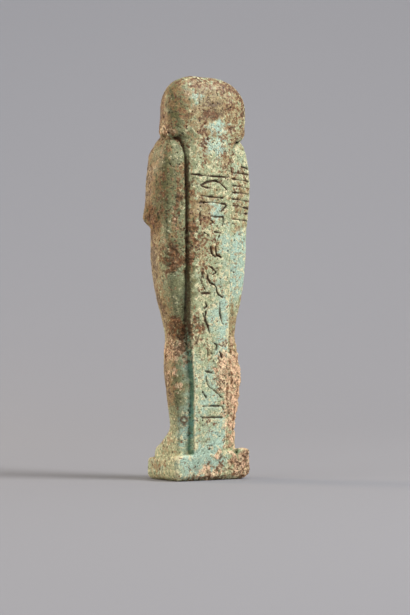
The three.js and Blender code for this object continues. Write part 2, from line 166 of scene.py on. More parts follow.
ROOM = ((-15.4, -1, -0.8), (15.4, 20.4, HEIGHT + 1))  # corners of the field
FLAT = 0.02  # where the underside and the pillar's face are cut flat
BAG = {"inner": -7, "outer": -13.3, "top": 81.4, "bottom": 67.6, "lines": 9}

# ---- the cut column ----

# Plain strokes with no meaning, in hundredths of a box that is drawn from its foot to its head. The first
# number of each point runs from the figure's left to its right.
MARKS = {
    "bow": (((8, 35), (30, 72), (58, 90), (80, 62), (100, 5)), ((8, 30), (25, 10), (42, 8))),
    "bar": (((5, 70), (45, 45), (85, 35)),),
    "hooked bar": (((0, 90), (50, 98), (97, 84)), ((100, 70), (90, 40), (80, 5))),
    "corner": (
        ((2, 100), (0, 50), (4, 0)), ((42, 75), (66, 70), (88, 72)), ((88, 72), (90, 40), (86, 5)),
        ((40, 45), (50, 25), (40, 10)),
    ),
    "crook": (
        ((15, 97), (32, 86)), ((58, 100), (82, 97)), ((76, 90), (64, 55), (62, 20), (82, 3)),
        ((42, 42), (46, 18), (60, 5)),
    ),
    "bend": (
        ((30, 100), (48, 93), (62, 80), (50, 72)), ((6, 78), (2, 50), (16, 25)),
        ((22, 82), (34, 50), (58, 36), (70, 10), (90, 0)),
    ),
    "short bar": (((0, 50), (20, 40), (40, 50)),),
    "posts": (
        ((16, 100), (24, 88), (14, 80)), ((20, 68), (18, 42), (30, 20), (34, 0)),
        ((80, 100), (80, 62), (90, 30)), ((6, 62), (12, 50)),
    ),
    "ticks": (
        ((46, 100), (66, 80), (64, 50)), ((30, 60), (28, 10)), ((48, 70), (44, 30)), ((80, 40), (90, 5)),
    ),
    "slope": (((15, 100), (45, 94)), ((20, 78), (26, 50), (55, 26), (88, 0)), ((3, 20), (18, 0))),
    "rule": (((3, 50), (50, 45), (92, 50)), ((90, 50), (100, 0))),
    "line": (((2, 50), (50, 55), (92, 45)),),
}
COLUMN = (  # mark, height of its middle, height of its box
    ("bow", 76.3, 2.4), ("bar", 73.1, 1), ("hooked bar", 70.5, 2.4), ("corner", 67.3, 3.2),
    ("crook", 60.7, 6.8), ("bend", 51.3, 8), ("short bar", 48.3, 1), ("posts", 42, 7.8),
    ("ticks", 33.6, 4.4), ("slope", 24.8, 6.7), ("rule", 19.2, 2), ("line", 16.2, 1),
)
COLUMN_HALF = ((14, 3.4), (50, 3.9), (77, 4.4))
COLUMN_CENTRE = 0.05
HEAD_LINE = ((6.8, 78.65), (0.9, 78.4), (-5.3, 78.45))  # x and z of the thin line above the column
PLAITS = {"count": 7, "bottom": 83, "apart": 0.8, "half": 1.15, "rise": 0.5}
FINGERS = {"count": 3, "bottom": 75.7, "apart": 0.85, "lines": ((2.6, 0, 3.6, 0.1), (4.6, 0.1, 5.4, 0))}

# ---- staining, crust, painted shade and painted rim light, as soft lumps: centre x, depth and z, radii and strength ----

PATCHES = {
    "rust": (  # red-brown flecks
        (2, 3, 103, 9, 6, 2.4, 0.8), (-4.5, 1.5, 102, 2.6, 3, 1.8, 1.1),  # crown
        (-9, 3, 97, 4, 5, 6.5, 1), (-7.2, 0.5, 90, 2.6, 3, 3.4, 1),  # right side of the wig
        (10.4, 6, 92.5, 2.4, 4, 4, 0.7),  # left rim of the wig
        (0.6, 0, 94.8, 1.5, 2, 1.4, 0.95), (3.1, 0, 90.4, 0.9, 2, 2.4, 1.15),  # streak down the wig
        (3.1, 0, 85, 0.8, 2, 3.2, 1.15), (-1.4, 0, 88.4, 2.6, 1, 1.4, 0.6),
        (-4.4, 0, 82.8, 2.4, 2, 3.2, 0.95),
        (-10, 2, 79.5, 3, 2, 1.2, 0.7), (-9.4, 2, 75.4, 2.4, 2, 0.9, 0.8),  # seed bag
        (-9.6, 2, 70.6, 2.4, 2, 0.9, 0.65),
        (2, 0, 66.6, 1.6, 1, 1.8, 0.9), (0.2, 0, 60.5, 1.3, 1, 2, 0.9),  # among the strokes
        (3.8, 0, 60.5, 2.2, 1, 4, 0.8), (3, 0, 55, 1.6, 1, 1.4, 0.6), (-3.2, 0, 35.2, 1.4, 1, 1.4, 0.9),
        (9.2, 4, 35, 3.6, 4, 3.6, 1),  # knee
        (-7.4, 3, 24, 3, 5, 9, 0.35), (-2.6, 0, 26, 1.6, 1, 4, 0.8),  # right shin, and pillar
        (0.6, 0, 14, 1.4, 1, 1.6, 0.9), (0, 0, 2.4, 5, 2, 2, 0.9), (-9.6, 0.5, 4.4, 2.6, 2, 2.2, 1.1),
        (11.4, 9, 2.6, 1.6, 4, 2, 0.25),
        (-4, 17, 68, 6, 4, 8, 0.7), (6, 17, 46, 5, 4, 9, 0.7), (-7, 14, 94, 4, 5, 7, 0.6),  # front
    ),
    "brown": (  # dark brown crust
        (10.3, 3, 57, 2.6, 3, 3.2, 1),  # hip
        (6.6, 0.6, 64.2, 1.5, 2, 2.2, 1), (6.8, 0.6, 58, 1.5, 2, 3.4, 0.8),  # pillar's left edge
        (7.2, 1, 74.6, 1, 2, 2.4, 0.8),
        (5.6, 0, 39, 2.8, 2, 2.4, 0.95), (8.6, 3.4, 39, 2.8, 3.4, 2.8, 1),  # knee, and pillar beside it
        (9.4, 4, 34.6, 3.4, 4, 2.6, 0.55),
        (12.4, 8.8, 67.8, 2.8, 4.5, 3, 0.85),  # elbow
        (8.8, 2.8, 93.2, 2, 2.8, 5, 0.5), (10, 2, 71.5, 1.6, 2, 4.6, 0.7),  # left of the wig, and arm
        (13.2, 4.2, 73.8, 1.8, 2.4, 3.6, 0.62),
        (3.4, 0, 62.6, 1.4, 1, 1.6, 0.7), (2.6, 0, 53.6, 1.6, 1, 2.6, 0.7),  # among the strokes
        (4.6, 0, 49, 1.4, 1, 1.6, 0.6), (12, 8, 44, 2, 4, 3, 0.5),
        (-8, 0.6, 7.4, 1.2, 1.6, 1.2, 0.7), (2, 0, 0.2, 6, 2, 0.9, 0.9),  # broken corner, and underside
        (-9.5, 1, 0.6, 3, 3, 1.2, 0.8),
        (6, 16, 62, 3, 3, 4, 0.7), (-5, 15, 34, 4, 4, 4, 0.7),  # front
    ),
    "sand": (  # sandy crust
        (9.4, 5, 33.4, 4, 5, 2.8, 0.8),  # knee
        (11.4, 4.6, 89.8, 2.4, 3.2, 1.3, 0.75),  # wig's lower rim
        (-3.8, 0, 28.6, 2.4, 1.6, 4.6, 0.9), (-5, 0, 19, 1.4, 1.6, 8, 0.8),  # pillar's right edge
        (-8.6, 5, 22, 3.4, 7, 10.5, 1.15), (-7.6, 3, 11, 2.4, 4, 3.4, 0.75),  # right shin
        (-2, 0, 7, 1.2, 1, 1.2, 1),
        (-9, 1, 4.4, 3.6, 3, 4, 0.85), (1.6, 0, 2.2, 4.4, 1.4, 1.5, 0.75),  # base
        (9.9, 4.6, 27.4, 1.8, 2.4, 2, 0.5), (8.4, 1.8, 24.6, 1.6, 1.5, 1.3, 0.5),  # calf
        (2, 16, 20, 6, 6, 6, 0.6),  # front
    ),
    "clean": (  # blue-green
        (-1.2, 0, 91.2, 2.6, 2, 1.9, 1), (-1.6, 0, 86.6, 2.6, 2, 1.8, 0.6),  # nape
        (5, 1, 98.4, 1.8, 2, 2, 0.9), (0.6, 2, 101.6, 2, 2, 1, 0.4), (-0.6, 0, 69.2, 1.6, 1.5, 1.8, 0.9),
        (-4.4, 0, 60, 1.8, 1.5, 6, 0.6),
        (-8.6, 2.5, 56, 3.2, 3, 8, 1), (-9, 2.5, 83.4, 2.6, 3, 4, 0.3),  # right hip and shoulder
        (9.4, 3, 49.6, 3.2, 3.5, 5, 0.9), (-2.4, 0, 42, 2.6, 1.5, 5, 0.7),  # left thigh, and pillar
        (-3.4, 0, 35, 2.6, 1.5, 2.4, 0.7),
        (8.4, 3.4, 28.6, 2.8, 3, 3.6, 1), (7.4, 2, 20, 1.6, 2.4, 14, 1),  # left calf
        (1.8, 0, 23, 3, 1.4, 5, 0.7),
        (4, 0, 4.2, 5, 2, 3, 1.3), (-1.6, 0, 11.4, 3.4, 1.5, 4, 0.9),  # back of the base, and pillar
        (0, 17, 54, 7, 4, 9, 0.7), (0, 16, 95, 5, 4, 5, 0.5),  # front
    ),
    "ochre": (  # golden stain; along the left outline, painted warm rim light as well
        (1, 0.5, 96, 5, 3, 5, 0.8),  # back of the wig
        (13.7, 12.2, 76, 2, 3.2, 12, 0.9), (11.4, 8.4, 95, 1.8, 2.6, 8, 1),  # left arm and side of the wig, at the outline: golden stain and painted warm rim light
        # Down the left outline of the hip, thigh and calf: golden stain and painted warm rim light.
        (12.3, 10.6, 58, 2, 3.8, 9, 1), (10.4, 9.8, 44, 2.2, 3.8, 8, 0.9),
        (10.2, 7.6, 27, 2.2, 3.6, 6, 0.9), (8.6, 8, 10, 3, 7, 4, 0.12), (10.8, 9, 3.4, 2.6, 5, 3, 0.12),
        (-8.4, 4, 60, 2, 3, 14, 0.5), (-9, 4, 30, 3, 6, 12, 0.7), (2.6, 0, 70.4, 3.6, 1, 3, 0.6),
        (-10.6, 1, 4, 3, 3, 4, 0.8),
    ),
    "shade": (  # browned side: brown stain with painted shade
        (9.8, 3, 95, 2.8, 3.2, 6.8, 1.15),  # wig
        (6.9, 0.3, 60, 1, 1.4, 18, 0.95), (7, 0.8, 88.4, 1.4, 1.6, 3.2, 0.8),  # pillar's left edge
        (12.4, 5.6, 76.8, 4.2, 5.6, 10.5, 1), (7.6, 1, 72, 0.9, 2, 14, 0.6),  # arm and the furrow beside it
        (12.8, 7.6, 68.4, 3.4, 5, 3.6, 1.2), (10.4, 2.6, 60, 3, 3.8, 7, 0.75),
        (9.6, 3.4, 46, 3, 3.8, 9, 0.7), (9.6, 3.6, 26, 2.8, 3.6, 8, 0.85),
        (3, 0.5, 3.4, 5, 1.5, 3, 0.3),  # base
    ),
}
RINGS = (  # rusty rings and dots: x, depth, z, radius, half width
    (7.6, 2.35, 15.7, 0.75, 0.28),
    (7.5, 2.4, 14.3, 0, 0.35),
    (-2.5, 0.2, 6.2, 0, 0.5),
    (-2.1, 0, 5.8, 0, 0.4),
)
NOTCH_SHADOW = ((-7.9, 0.6, 7, 1.1, 1.4, 0.9, 1),)  # painted dark green shadow in the hollow of the broken corner
HOLLOW_DARKENING = ((34, 44), (0.5, 1))  # heights and how strongly the hollows are darkened there, with soil and painted shade: less below the knee
WALL_TURN = (41, 34)  # heights between which the painted shade on the pillar's side walls turns from brown soil to dark green
HOLLOW_REACH = (0.6, 1.8)  # near and wide boxes over which the skin is judged hollow
PATCH_FADE = (1.5, 0.8)  # a patch's weight at its middle, which counts as 1 at most, and its fall per radius

# ---- noise and tints ----

CUT_NOISE = {"stray": 900, "uneven": 330, "crowd": 130, "lumps": 700, "broken": 190}  # per metre
PIT_SEED = 11
PATTERNS = {  # patterns of the glaze: scale per metre, detail, roughness and seed
    "cloud": (110, 3, 0.6),
    "patch": (320, 4, 0.6, 0.3),
    "mottle": (900, 4, 0.65, 0.7),
    "grain": (1900, 3, 0.6, 1.3),
    "stain": (430, 5, 0.72, 2.1),
    "fleck": (1250, 3, 0.65, 2.9),
    "dusk": (1500, 3, 0.65, 3.7),
    "streak": (800, 4, 0.65, 4.1),
}
FINE_PATTERNS = {  # the same for patterns finer than the mesh
    "grit": (2700.0, 2.0, 0.6, 5.3), "specks": (1500.0, 3.0, 0.6, 4.7), "relief": (3300.0, 2.0, 0.6, 6.1),
}
SPOTS = (  # cells per metre, least and most radius, share of the cells, seed, strength
    (900.0, 0.1, 0.4, 0.22, 2.9, 0.8), (1500.0, 0.1, 0.45, 0.22, 3.9, 0.6),
)
TINTS = {  # what the glaze is multiplied by
    "dusk": (0.42, 0.4, 0.3),
    # The next four tints darken: the left side as brown stain with painted shade, the hollows as painted
    # shade, and the pillar's side walls as soil with painted shade above and painted shade below.
    "shade": (0.375, 0.315, 0.2),
    "recess_shade": (0.36, 0.38, 0.34),
    "soil": (0.72, 0.68, 0.62),
    "deep": (0.34, 0.58, 0.54),
}


# ---- settings shown in the sidebar ----

def size(name, value, text):
    """A length setting whose value is given in millimetres."""
    kind = {"min": 0.0, "precision": 5, "subtype": "DISTANCE", "unit": "LENGTH"}
    return bpy.props.FloatProperty(name=name, description=text, default=value * MM, **kind)


def colour(name, value, text):
    kind = {"size": 3, "min": 0.0, "max": 1.0, "subtype": "COLOR"}
    return bpy.props.FloatVectorProperty(name=name, description=text, default=value, **kind)


class UshabtiSizes(bpy.types.PropertyGroup):
    """Sizes of the skin and of everything cut into it or raised on it."""

    step: size("Skin step", 0.2, "Spacing of the grid that the figure is skinned from")
    waves: size("Waves", 0.13, "Height of the skin's slow hand-made waves")
    stroke_half: size("Stroke half width", 0.29, "Half width of the strokes on the pillar")
    stroke_depth: size("Stroke depth", 0.42, "Depth of the strokes on the pillar")
    bag_half: size("Bag line half width", 0.26, "Half width of the seed bag's lines")
    bag_depth: size("Bag line depth", 0.42, "Depth of the seed bag's lines")
    braid_half: size("Braid half width", 0.2, "Half width of the beard's and fingers' lines")
    braid_depth: size("Braid depth", 0.2, "Depth of the beard's and fingers' lines")
    ragged: size("Raggedness", 0.24, "How far the cut lines stray from their path")
    pit_radius: size("Pit radius", 0.34, "Radius of the largest pits")
    pit_depth: size("Pit depth", 0.3, "Depth of the largest pits")
    crust_height: size("Crust height", 0.22, "Height of the crust's grains")
    pits: bpy.props.FloatProperty(
        name="Pits", description="Pits on each square millimetre", default=0.42, min=0.0, max=3.0
    )
    triangles: bpy.props.IntProperty(
        name="Triangles", description="Most triangles in the figure", default=192000, min=2000, max=199000
    )


class UshabtiColours(bpy.types.PropertyGroup):
    """Colours of the glaze, its stains and the studio."""

    glaze: colour("Glaze", (0.42, 0.465, 0.265), "Dull green of most of the glaze")
    aqua: colour("Aqua", (0.46, 0.63, 0.50), "Blue-green where the glaze is clean")
    pale: colour("Pale", (0.80, 0.72, 0.43), "Cream where the glaze is thin")
    # Ochre also paints warm rim light along the left outline.
    ochre: colour("Ochre", (0.36, 0.215, 0.085), "Golden stain on edges")
    brown: colour("Brown", (0.105, 0.056, 0.024), "Brown stain")
    rust: colour("Rust", (0.25, 0.1, 0.04), "Red-brown crust")
    sand: colour("Sand", (0.86, 0.56, 0.35), "Sandy grains of the crust")
    pit: colour("Pit", (0.026, 0.02, 0.01), "Dark soil in the pits and cuts")
    floor: colour("Floor", (0.292, 0.289, 0.305), "Studio floor and backdrop")


# ---- the field ----

def smooth_min(a, b, blend):
    if blend <= 0:
        return np.minimum(a, b)
    overlap = np.maximum(blend - np.abs(a - b), 0) / blend
    return np.minimum(a, b) - overlap * overlap * blend * 0.25


class Field:
    """Distance to the skin at each point of an even grid over x, depth and z: negative inside."""

    def __init__(self, low, high, step):
        self.step = step
        self.low = np.array(low, dtype=float)
        counts = np.ceil((np.array(high) - self.low) / step).astype(int) + 1
        self.axes = [(self.low[i] + step * np.arange(counts[i])).astype(np.float32) for i in range(3)]
        self.values = np.full(counts, 9.0, np.float32)

    def window(self, low, high):
        """The grid points between two corners, as slices and as x, depth and z arrays that broadcast."""
        cuts = []
        for i in range(3):
            first = max(0, int((low[i] - self.low[i]) / self.step))
            last = min(len(self.axes[i]), int((high[i] - self.low[i]) / self.step) + 2)
            cuts.append(slice(first, last))
        return tuple(cuts), np.ix_(*(axis[cut] for axis, cut in zip(self.axes, cuts)))

    def join(self, forms, blend=0.0, sign=1):
        """Adds a form, or each of a list of forms; with a sign of -1 it cuts them out."""
        for distance, low, high in forms if isinstance(forms, list) else [forms]:
            cuts, points = self.window(low, high)
            self.values[cuts] = sign * smooth_min(sign * self.values[cuts], distance(*points), blend)

    def cut(self, forms, blend=0.0):
        self.join(forms, blend, -1)


def sizes_at(levels, heights):
    """Every size of a list of levels at each height, by a Catmull-Rom curve through the levels."""
    table = np.array(levels, dtype=float)
    z, sizes = table[:, 0], table[:, 1:]
    span = np.diff(z)
    slopes = np.empty_like(sizes)
    slopes[1:-1] = (sizes[2:] - sizes[:-2]) / (z[2:] - z[:-2])[:, None]
    slopes[0] = (sizes[1] - sizes[0]) / span[0]
    slopes[-1] = (sizes[-1] - sizes[-2]) / span[-1]
    flat = np.clip(np.ravel(heights), z[0], z[-1])
    i = np.clip(np.searchsorted(z, flat) - 1, 0, len(z) - 2)
    t = ((flat - z[i]) / span[i])[:, None]
    h = span[i][:, None]
    found = (
        sizes[i] * (2 * t**3 - 3 * t**2 + 1) + h * slopes[i] * (t**3 - 2 * t**2 + t)
        + sizes[i + 1] * (3 * t**2 - 2 * t**3) + h * slopes[i + 1] * (t**3 - t**2)
    )
    return [column.astype(np.float32).reshape(1, 1, -1) for column in found.T]


def section(x, depth, centre, half, back, mid, front, square_back, square_front):
    """Distance in the plane to a D-shaped section: one superellipse half behind mid and one before it."""
    behind = depth < mid
    reach = np.where(behind, mid - back, front - mid)
    square = np.where(behind, square_back, square_front)
    u = np.abs(x - centre) / half
    v = np.abs(depth - mid) / reach
    swell = np.maximum((u**square + v**square) ** (1 / square), 0.2)
    slope = swell ** (1 - square) * np.hypot(u ** (square - 1) / half, v ** (square - 1) / reach)
    return (swell - 1) / np.maximum(slope, 0.02)


def evened(distance, step):
    """A field whose slope near the skin is one, from one whose slope differs."""
    slopes = np.gradient(distance, step)
    steep = np.sqrt(sum(slope * slope for slope in slopes))
    return distance / np.maximum(steep, 0.35)


def capped(distance, z, bottom, top):
    return np.maximum(distance, np.maximum(z - top, bottom - z))


def rounded(a, b, edge):
    """Distance to two sides that meet in a rounded edge, from the distances to each."""
    a, b = a + edge, b + edge
    return np.hypot(np.maximum(a, 0), np.maximum(b, 0)) + np.minimum(np.maximum(a, b), 0) - edge


def ellipsoid(centre, radii):
    def distance(x, depth, z):
        parts = [(p - c) / r for p, c, r in zip((x, depth, z), centre, radii)]
        far = np.sqrt(sum(part * part for part in parts))
        steep = np.sqrt(sum((part / r) ** 2 for part, r in zip(parts, radii)))
        return far * (far - 1) / np.maximum(steep, 1e-3)

    room = [r + 2.0 for r in radii]
    return distance, [c - r for c, r in zip(centre, room)], [c + r for c, r in zip(centre, room)]


def rod(start, end, radius_start, radius_end=None):
    radius_end = radius_start if radius_end is None else radius_end
    a, b = np.array(start, float), np.array(end, float)
    along = b - a
    length2 = float(along @ along) or 1e-9

    def distance(x, depth, z):
        from_a = (x - a[0], depth - a[1], z - a[2])
        t = np.clip(sum(part * way for part, way in zip(from_a, along)) / length2, 0, 1)
        gap = sum((part - t * way) ** 2 for part, way in zip(from_a, along))
        return np.sqrt(gap) - (radius_start + t * (radius_end - radius_start))

    room = max(radius_start, radius_end) + 2.0
    return distance, np.minimum(a, b) - room, np.maximum(a, b) + room


def path_rods(points, radius):
    return [rod(a, b, radius) for a, b in zip(points, points[1:])]


# ---- the figure's forms ----

def body():
    bottom, top = BODY[0][0], BODY[-1][0]

    def distance(x, depth, z):
        centre, half, back, front, square = sizes_at(BODY, z)
        flat = section(x, depth, centre, half, back, BODY_WIDEST, front, BODY_BACK_ROUND, square)
        return capped(flat, z, bottom, top)

    return distance, (-16, -2, bottom - 2), (16, 21, top + 2)


def base():
    left, right, front, depth_all = BASE["left"], BASE["right"], BASE["front"], BASE["depth"]

    def distance(x, depth, z):
        share = np.clip(depth / depth_all, 0, 1)
        y = BACK - depth
        upright = z / (1 + (BASE_TILT[0] * x + BASE_TILT[1] * y) / BASE["height"])
        sides = np.maximum(x - (left + (front - left) * share), -x - (right + (front - right) * share))
        ends = np.maximum(depth - depth_all, -depth)
        plan = rounded(sides, ends, BASE_ROUND["rear"] + (BASE_ROUND["fore"] - BASE_ROUND["rear"]) * share)
        rise = np.abs(upright - BASE["height"] / 2) - BASE["height"] / 2
        edge = np.where(upright > BASE["height"] / 2, BASE_ROUND["top"], BASE_ROUND["bottom"])
        return rounded(plan, rise, edge)

    return distance, (-15, -2, -1), (15, 21, 11)


def pillar():
    def distance(x, depth, z):
        (half,) = sizes_at(PILLAR_HALF, z)
        sides = np.abs(x - PILLAR["offset"]) - half
        plan = rounded(sides, np.maximum(-depth, depth - PILLAR["depth"]), PILLAR["edge"])
        return capped(plan, z, PILLAR["foot"], PILLAR["top"])

    return distance, (-8, -1, 0), (10, 10, PILLAR["top"] + 1)


def wig_tail(step):
    """The wig's back, which narrows in a curve from the wig's width to the pillar's."""
    bottom, top = TAIL["bottom"], TAIL["top"]
    narrow = PILLAR_HALF[-1][1]

    def distance(x, depth, z):
        spread = np.clip((z - bottom) / (top - bottom), 0, 1) ** 1.8
        flat = section(
            x, depth, PILLAR["offset"] * (1 - spread), narrow + (TAIL["half"] - narrow) * spread,
            0.0, 3 + 1.5 * spread, 9.0, 9 - 5 * spread, 3.0,
        )
        return evened(capped(flat, z, bottom, top), step)

    return distance, (-12.5, -1, bottom - 1), (12.5, 11, top + 1)


def wig(step):
    bottom, widest, mid, dome = WIG["bottom"], WIG["widest"], WIG["mid"], WIG["dome"]

    def distance(x, depth, z):
        share = np.clip((z - widest) / (HEIGHT - widest), 0, 1)
        round_ = np.maximum((1 - share**dome) ** (1 / dome), 0.03)
        low = np.clip((widest - z) / (widest - bottom), 0, 1)
        flat = section(
            x, depth, WIG_RIM["flare"] * low + WIG_RIM["sway"] * share**6, WIG["half"] * round_,
            WIG["lean"] * (1 - round_), mid, mid + (WIG["front"] - mid) * round_, *WIG_ROUND,
        )
        return evened(-smooth_min(-np.maximum(flat, z - HEIGHT), z - bottom, WIG_RIM["round"]), step)

    return distance, (-14.5, -2, bottom - 1.5), (14.5, 16, HEIGHT + 1.2)


def cap():
    """The wig's front over the forehead, ending in a level hairline."""
    crown, low, high = ellipsoid(
        (0, CAP["depth"], CAP["z"]), (CAP["half"], CAP["front"] - CAP["depth"], HEIGHT - 0.4 - CAP["z"])
    )

    def distance(x, depth, z):
        return -smooth_min(-crown(x, depth, z), z - CAP["hairline"] - 0.02 * x * x, 0.3)

    return distance, (low[0], low[1], CAP["hairline"] - 1), high


def lappet(side, step):
    bottom, top = LAPPET[0][0], LAPPET[-1][0]

    def distance(x, depth, z):
        centre, half, front = sizes_at(LAPPET, z)
        flat = section(x, depth, side * centre, half, 7.0, front - 1.2, front, 5.0, 2.8)
        return -smooth_min(-evened(flat, step), -np.maximum(z - top, bottom - z), 0.4)

    low, high = sorted((side * 1.5, side * 10.5))
    return distance, (low, 6, bottom - 1.5), (high, 19.5, top + 1.5)


def arm(side):
    """Down the side from the shoulder to the elbow, then across the breast to a fist on the other side."""
    (sx, sd, sz), (ex, ed, ez), (fx, fd, fz) = SHOULDER, ELBOW, FIST
    wrist = (-side * fx * 0.7, fd, fz)
    return [
        rod((side * sx, sd, sz), (side * ex, ed, ez), *ARM_RADII["upper"]),
        rod((side * ex, ed, ez), wrist, *ARM_RADII["lower"]),
        ellipsoid((-side * fx, fd, fz), ARM_RADII["fist"]),
    ]


def hoe(side):
    radius, rise, lean = HOE["radius"], HOE["rise"], HOE["lean"]
    x, depth, z = side * (FIST[0] + 0.1), FIST[1] + 1.5, FIST[2]
    head = (x + side * lean, depth - 0.4, z + rise)
    tip = (x + side * (lean + HOE["blade"]), depth - 2.6, z + rise - 1.6)
    return [rod((x, depth, z - HOE["fall"]), head, radius), rod(head, tip, radius, radius * 1.5)]


def head():
    """The face before its features: a long oval, a jaw, cheeks, a chin and the nose."""
    middle, tall = (FACE["chin"] + FACE["top"]) / 2, (FACE["top"] - FACE["chin"]) / 2
    oval = ((0, FACE["depth"], middle), (FACE["half"], FACE["front"] - FACE["depth"], tall), 0.3)
    lumps = [(ellipsoid(centre, radii), blend) for centre, radii, blend in (oval, *FACE_LUMPS, *NOSE_LUMPS)]
    lumps.insert(1 + len(FACE_LUMPS), (rod(*NOSE_RIDGE), BLEND["nose"]))
    return lumps


def eye(side):
    """An eyeball between two lids, the line that runs on from them, and the brow above."""
    x, z, half, height, depth = (EYE[key] for key in ("x", "z", "half", "height", "depth"))
    inner = (side * (x - half), depth + 0.42, z - 0.1)
    outer = (side * (x + half + 0.1), depth - 0.55, z + 0.05)
    upper = (side * (x - 0.2), depth + 0.6, z + height + 0.12)
    lower = (side * (x + 0.1), depth + 0.42, z - height - 0.08)
    temple = (side * (x + half + 1.5), depth - 1.65, z + 0.02)
    ball = ellipsoid((side * x, depth - 0.05, z), (half * 0.98, 0.62, height))
    lids = path_rods((inner, upper, outer, temple), 0.22) + path_rods((inner, lower, outer), 0.2)
    return ball, lids, path_rods([(side * a, b, c) for a, b, c in BROW], 0.27)


def socket(side):
    radii = (EYE["half"] + 0.45, 0.95, EYE["height"] + 0.55)
    return ellipsoid((side * EYE["x"], EYE["depth"] + 1.1, EYE["z"]), radii)


def ear(side):
    x, depth, z = side * EAR[0], EAR[1], EAR[2]
    rim = [(x + side * a, depth + b, z + c) for a, b, c in EAR_RIM]
    bowl = ellipsoid((x - side * 0.2, depth - 0.4, z), (0.55, 0.85, 1.75))
    lobe = ellipsoid((x - side * 0.05, depth + 0.1, z - 1.55), (0.45, 0.5, 0.55))
    return [bowl, *path_rods(rim, 0.32), lobe]


def beard():
    top, bottom, radius, front = (BEARD[key] for key in ("top", "bottom", "radius", "front"))
    return rod((0, front - radius - 0.7, top), (0, front - radius, bottom), radius * 0.78, radius)


def furrow(side):
    """The furrow that parts a shoulder, arm and thigh from the wig's tail and the pillar's side."""
    path = [(PILLAR["offset"] * share + side * aside, depth, z) for aside, share, depth, z in FURROW]
    return path_rods(path, FURROW_RADIUS)


def waves(grid, wavelength, seed):
    """Slow random waves over the grid, from -1 to 1."""
    dice = np.random.default_rng(seed)
    ends = [(axis[0], axis[-1]) for axis in grid.axes]
    counts = [int((high - low) / wavelength) + 3 for low, high in ends]
    result = dice.uniform(-1, 1, counts).astype(np.float32)
    for i, axis in enumerate(grid.axes):
        place = (axis - axis[0]) / wavelength
        first = place.astype(int)
        t = place - first
        t = t * t * (3 - 2 * t)
        weights = np.zeros((len(axis), counts[i]), np.float32)
        weights[np.arange(len(axis)), first] = 1 - t
        weights[np.arange(len(axis)), first + 1] = t
        result = np.moveaxis(np.tensordot(weights, result, axes=(1, i)), 0, i)
    return result


def add_head(grid):
    for form, blend in head():
        grid.join(form, blend)
    for side in (-1, 1):
        ball, lids, brow = eye(side)
        grid.cut(socket(side), BLEND["socket"])
        grid.join(ball, BLEND["eyeball"])
        grid.join(lids, BLEND["lid"])
        grid.join(brow, BLEND["brow"])
        grid.join(ear(side), BLEND["ear"])
    grid.join(path_rods(UPPER_LIP, 0.3) + path_rods(LOWER_LIP, 0.36), BLEND["lips"])
    grid.cut(rod(*MOUTH), BLEND["mouth"])


def figure_field(step, wave_height):
    """The whole figure as one field."""
    grid = Field(*ROOM, step)
    grid.join(body())
    grid.join(arm(-1) + arm(1), BLEND["arm"])
    grid.join(wig(step), BLEND["wig"])
    grid.join(wig_tail(step), BLEND["tail"])
    grid.join(cap(), BLEND["cap"])
    add_head(grid)
    grid.join(beard(), BLEND["beard"])
    for side in (-1, 1):
        grid.join(lappet(side, step), BLEND["lappet"])
        grid.join(hoe(side), BLEND["hoe"])
        grid.cut(furrow(side), BLEND["furrow"])
    grid.join(pillar(), BLEND["pillar"])
    grid.join(base(), BLEND["base"])
    grid.cut([ellipsoid(*chip) for chip in CHIPS], BLEND["chip"])
    wavy = sum(strength * waves(grid, length, seed) for length, seed, strength in WAVES)
    grid.values += wave_height * wavy
    x, depth, z = np.ix_(*grid.axes)
    grid.values = np.maximum(grid.values, np.maximum(FLAT - z, -FLAT - depth))
    return grid


# ---- from the field to a mesh ----

def skin(values):
    """A skin through the field's zeros: points in grid steps and outward-facing quads over them."""
    inside = values < 0
    nx, nd, nz = values.shape
    corners = np.zeros((nx - 1, nd - 1, nz - 1), np.uint8)
    for i, j, k in itertools.product((0, 1), repeat=3):
        corners += inside[i:nx - 1 + i, j:nd - 1 + j, k:nz - 1 + k]
    active = (corners > 0) & (corners < 8)
    cells = np.argwhere(active)
    index = np.full(active.shape, -1, np.int32)
    index[active] = np.arange(len(cells), dtype=np.int32)
    total, hits = np.zeros((len(cells), 3)), np.zeros(len(cells))
    for axis, p, q in itertools.product(range(3), (0, 1), (0, 1)):
        near = cells.copy()
        near[:, (axis + 1) % 3] += p
        near[:, (axis + 2) % 3] += q
        far = near.copy()
        far[:, axis] += 1
        a, b = values[tuple(near.T)], values[tuple(far.T)]
        crossed = (a < 0) != (b < 0)
        point = near[crossed].astype(float)
        point[:, axis] += a[crossed] / (a[crossed] - b[crossed])
        total[crossed] += point
        hits[crossed] += 1
    return total / hits[:, None], np.concatenate([facing_quads(inside, index, axis) for axis in range(3)])


def facing_quads(inside, index, axis):
    """The quads whose four cells meet on a grid edge along one axis."""
    ahead = np.take(inside, range(1, inside.shape[axis]), axis=axis)
    behind = np.take(inside, range(0, inside.shape[axis] - 1), axis=axis)
    edges = np.argwhere(ahead != behind)
    leaving = behind[tuple(edges.T)]
    first, second = (axis + 1) % 3, (axis + 2) % 3
    ring = []
    for back_first, back_second in ((1, 1), (0, 1), (0, 0), (1, 0)):
        cell = edges.copy()
        cell[:, first] -= back_first
        cell[:, second] -= back_second
        ring.append(index[tuple(cell.T)])
    quads = np.stack(ring, axis=1)
    # Depth runs against Y, so a ring that turns outward in the grid turns inward in the frame.
    quads[leaving] = quads[leaving][:, ::-1]
    return quads


def from_frame(metres):
    """The x, depth and z in millimetres of points given in metres in the frame."""
    return metres[:, 0] / MM, BACK - metres[:, 1] / MM, metres[:, 2] / MM


def place(grid, points):
    """Grid steps to metres in the frame."""
    at = grid.low + points * grid.step
    return np.stack([at[:, 0], BACK - at[:, 1], at[:, 2]], axis=1) * MM


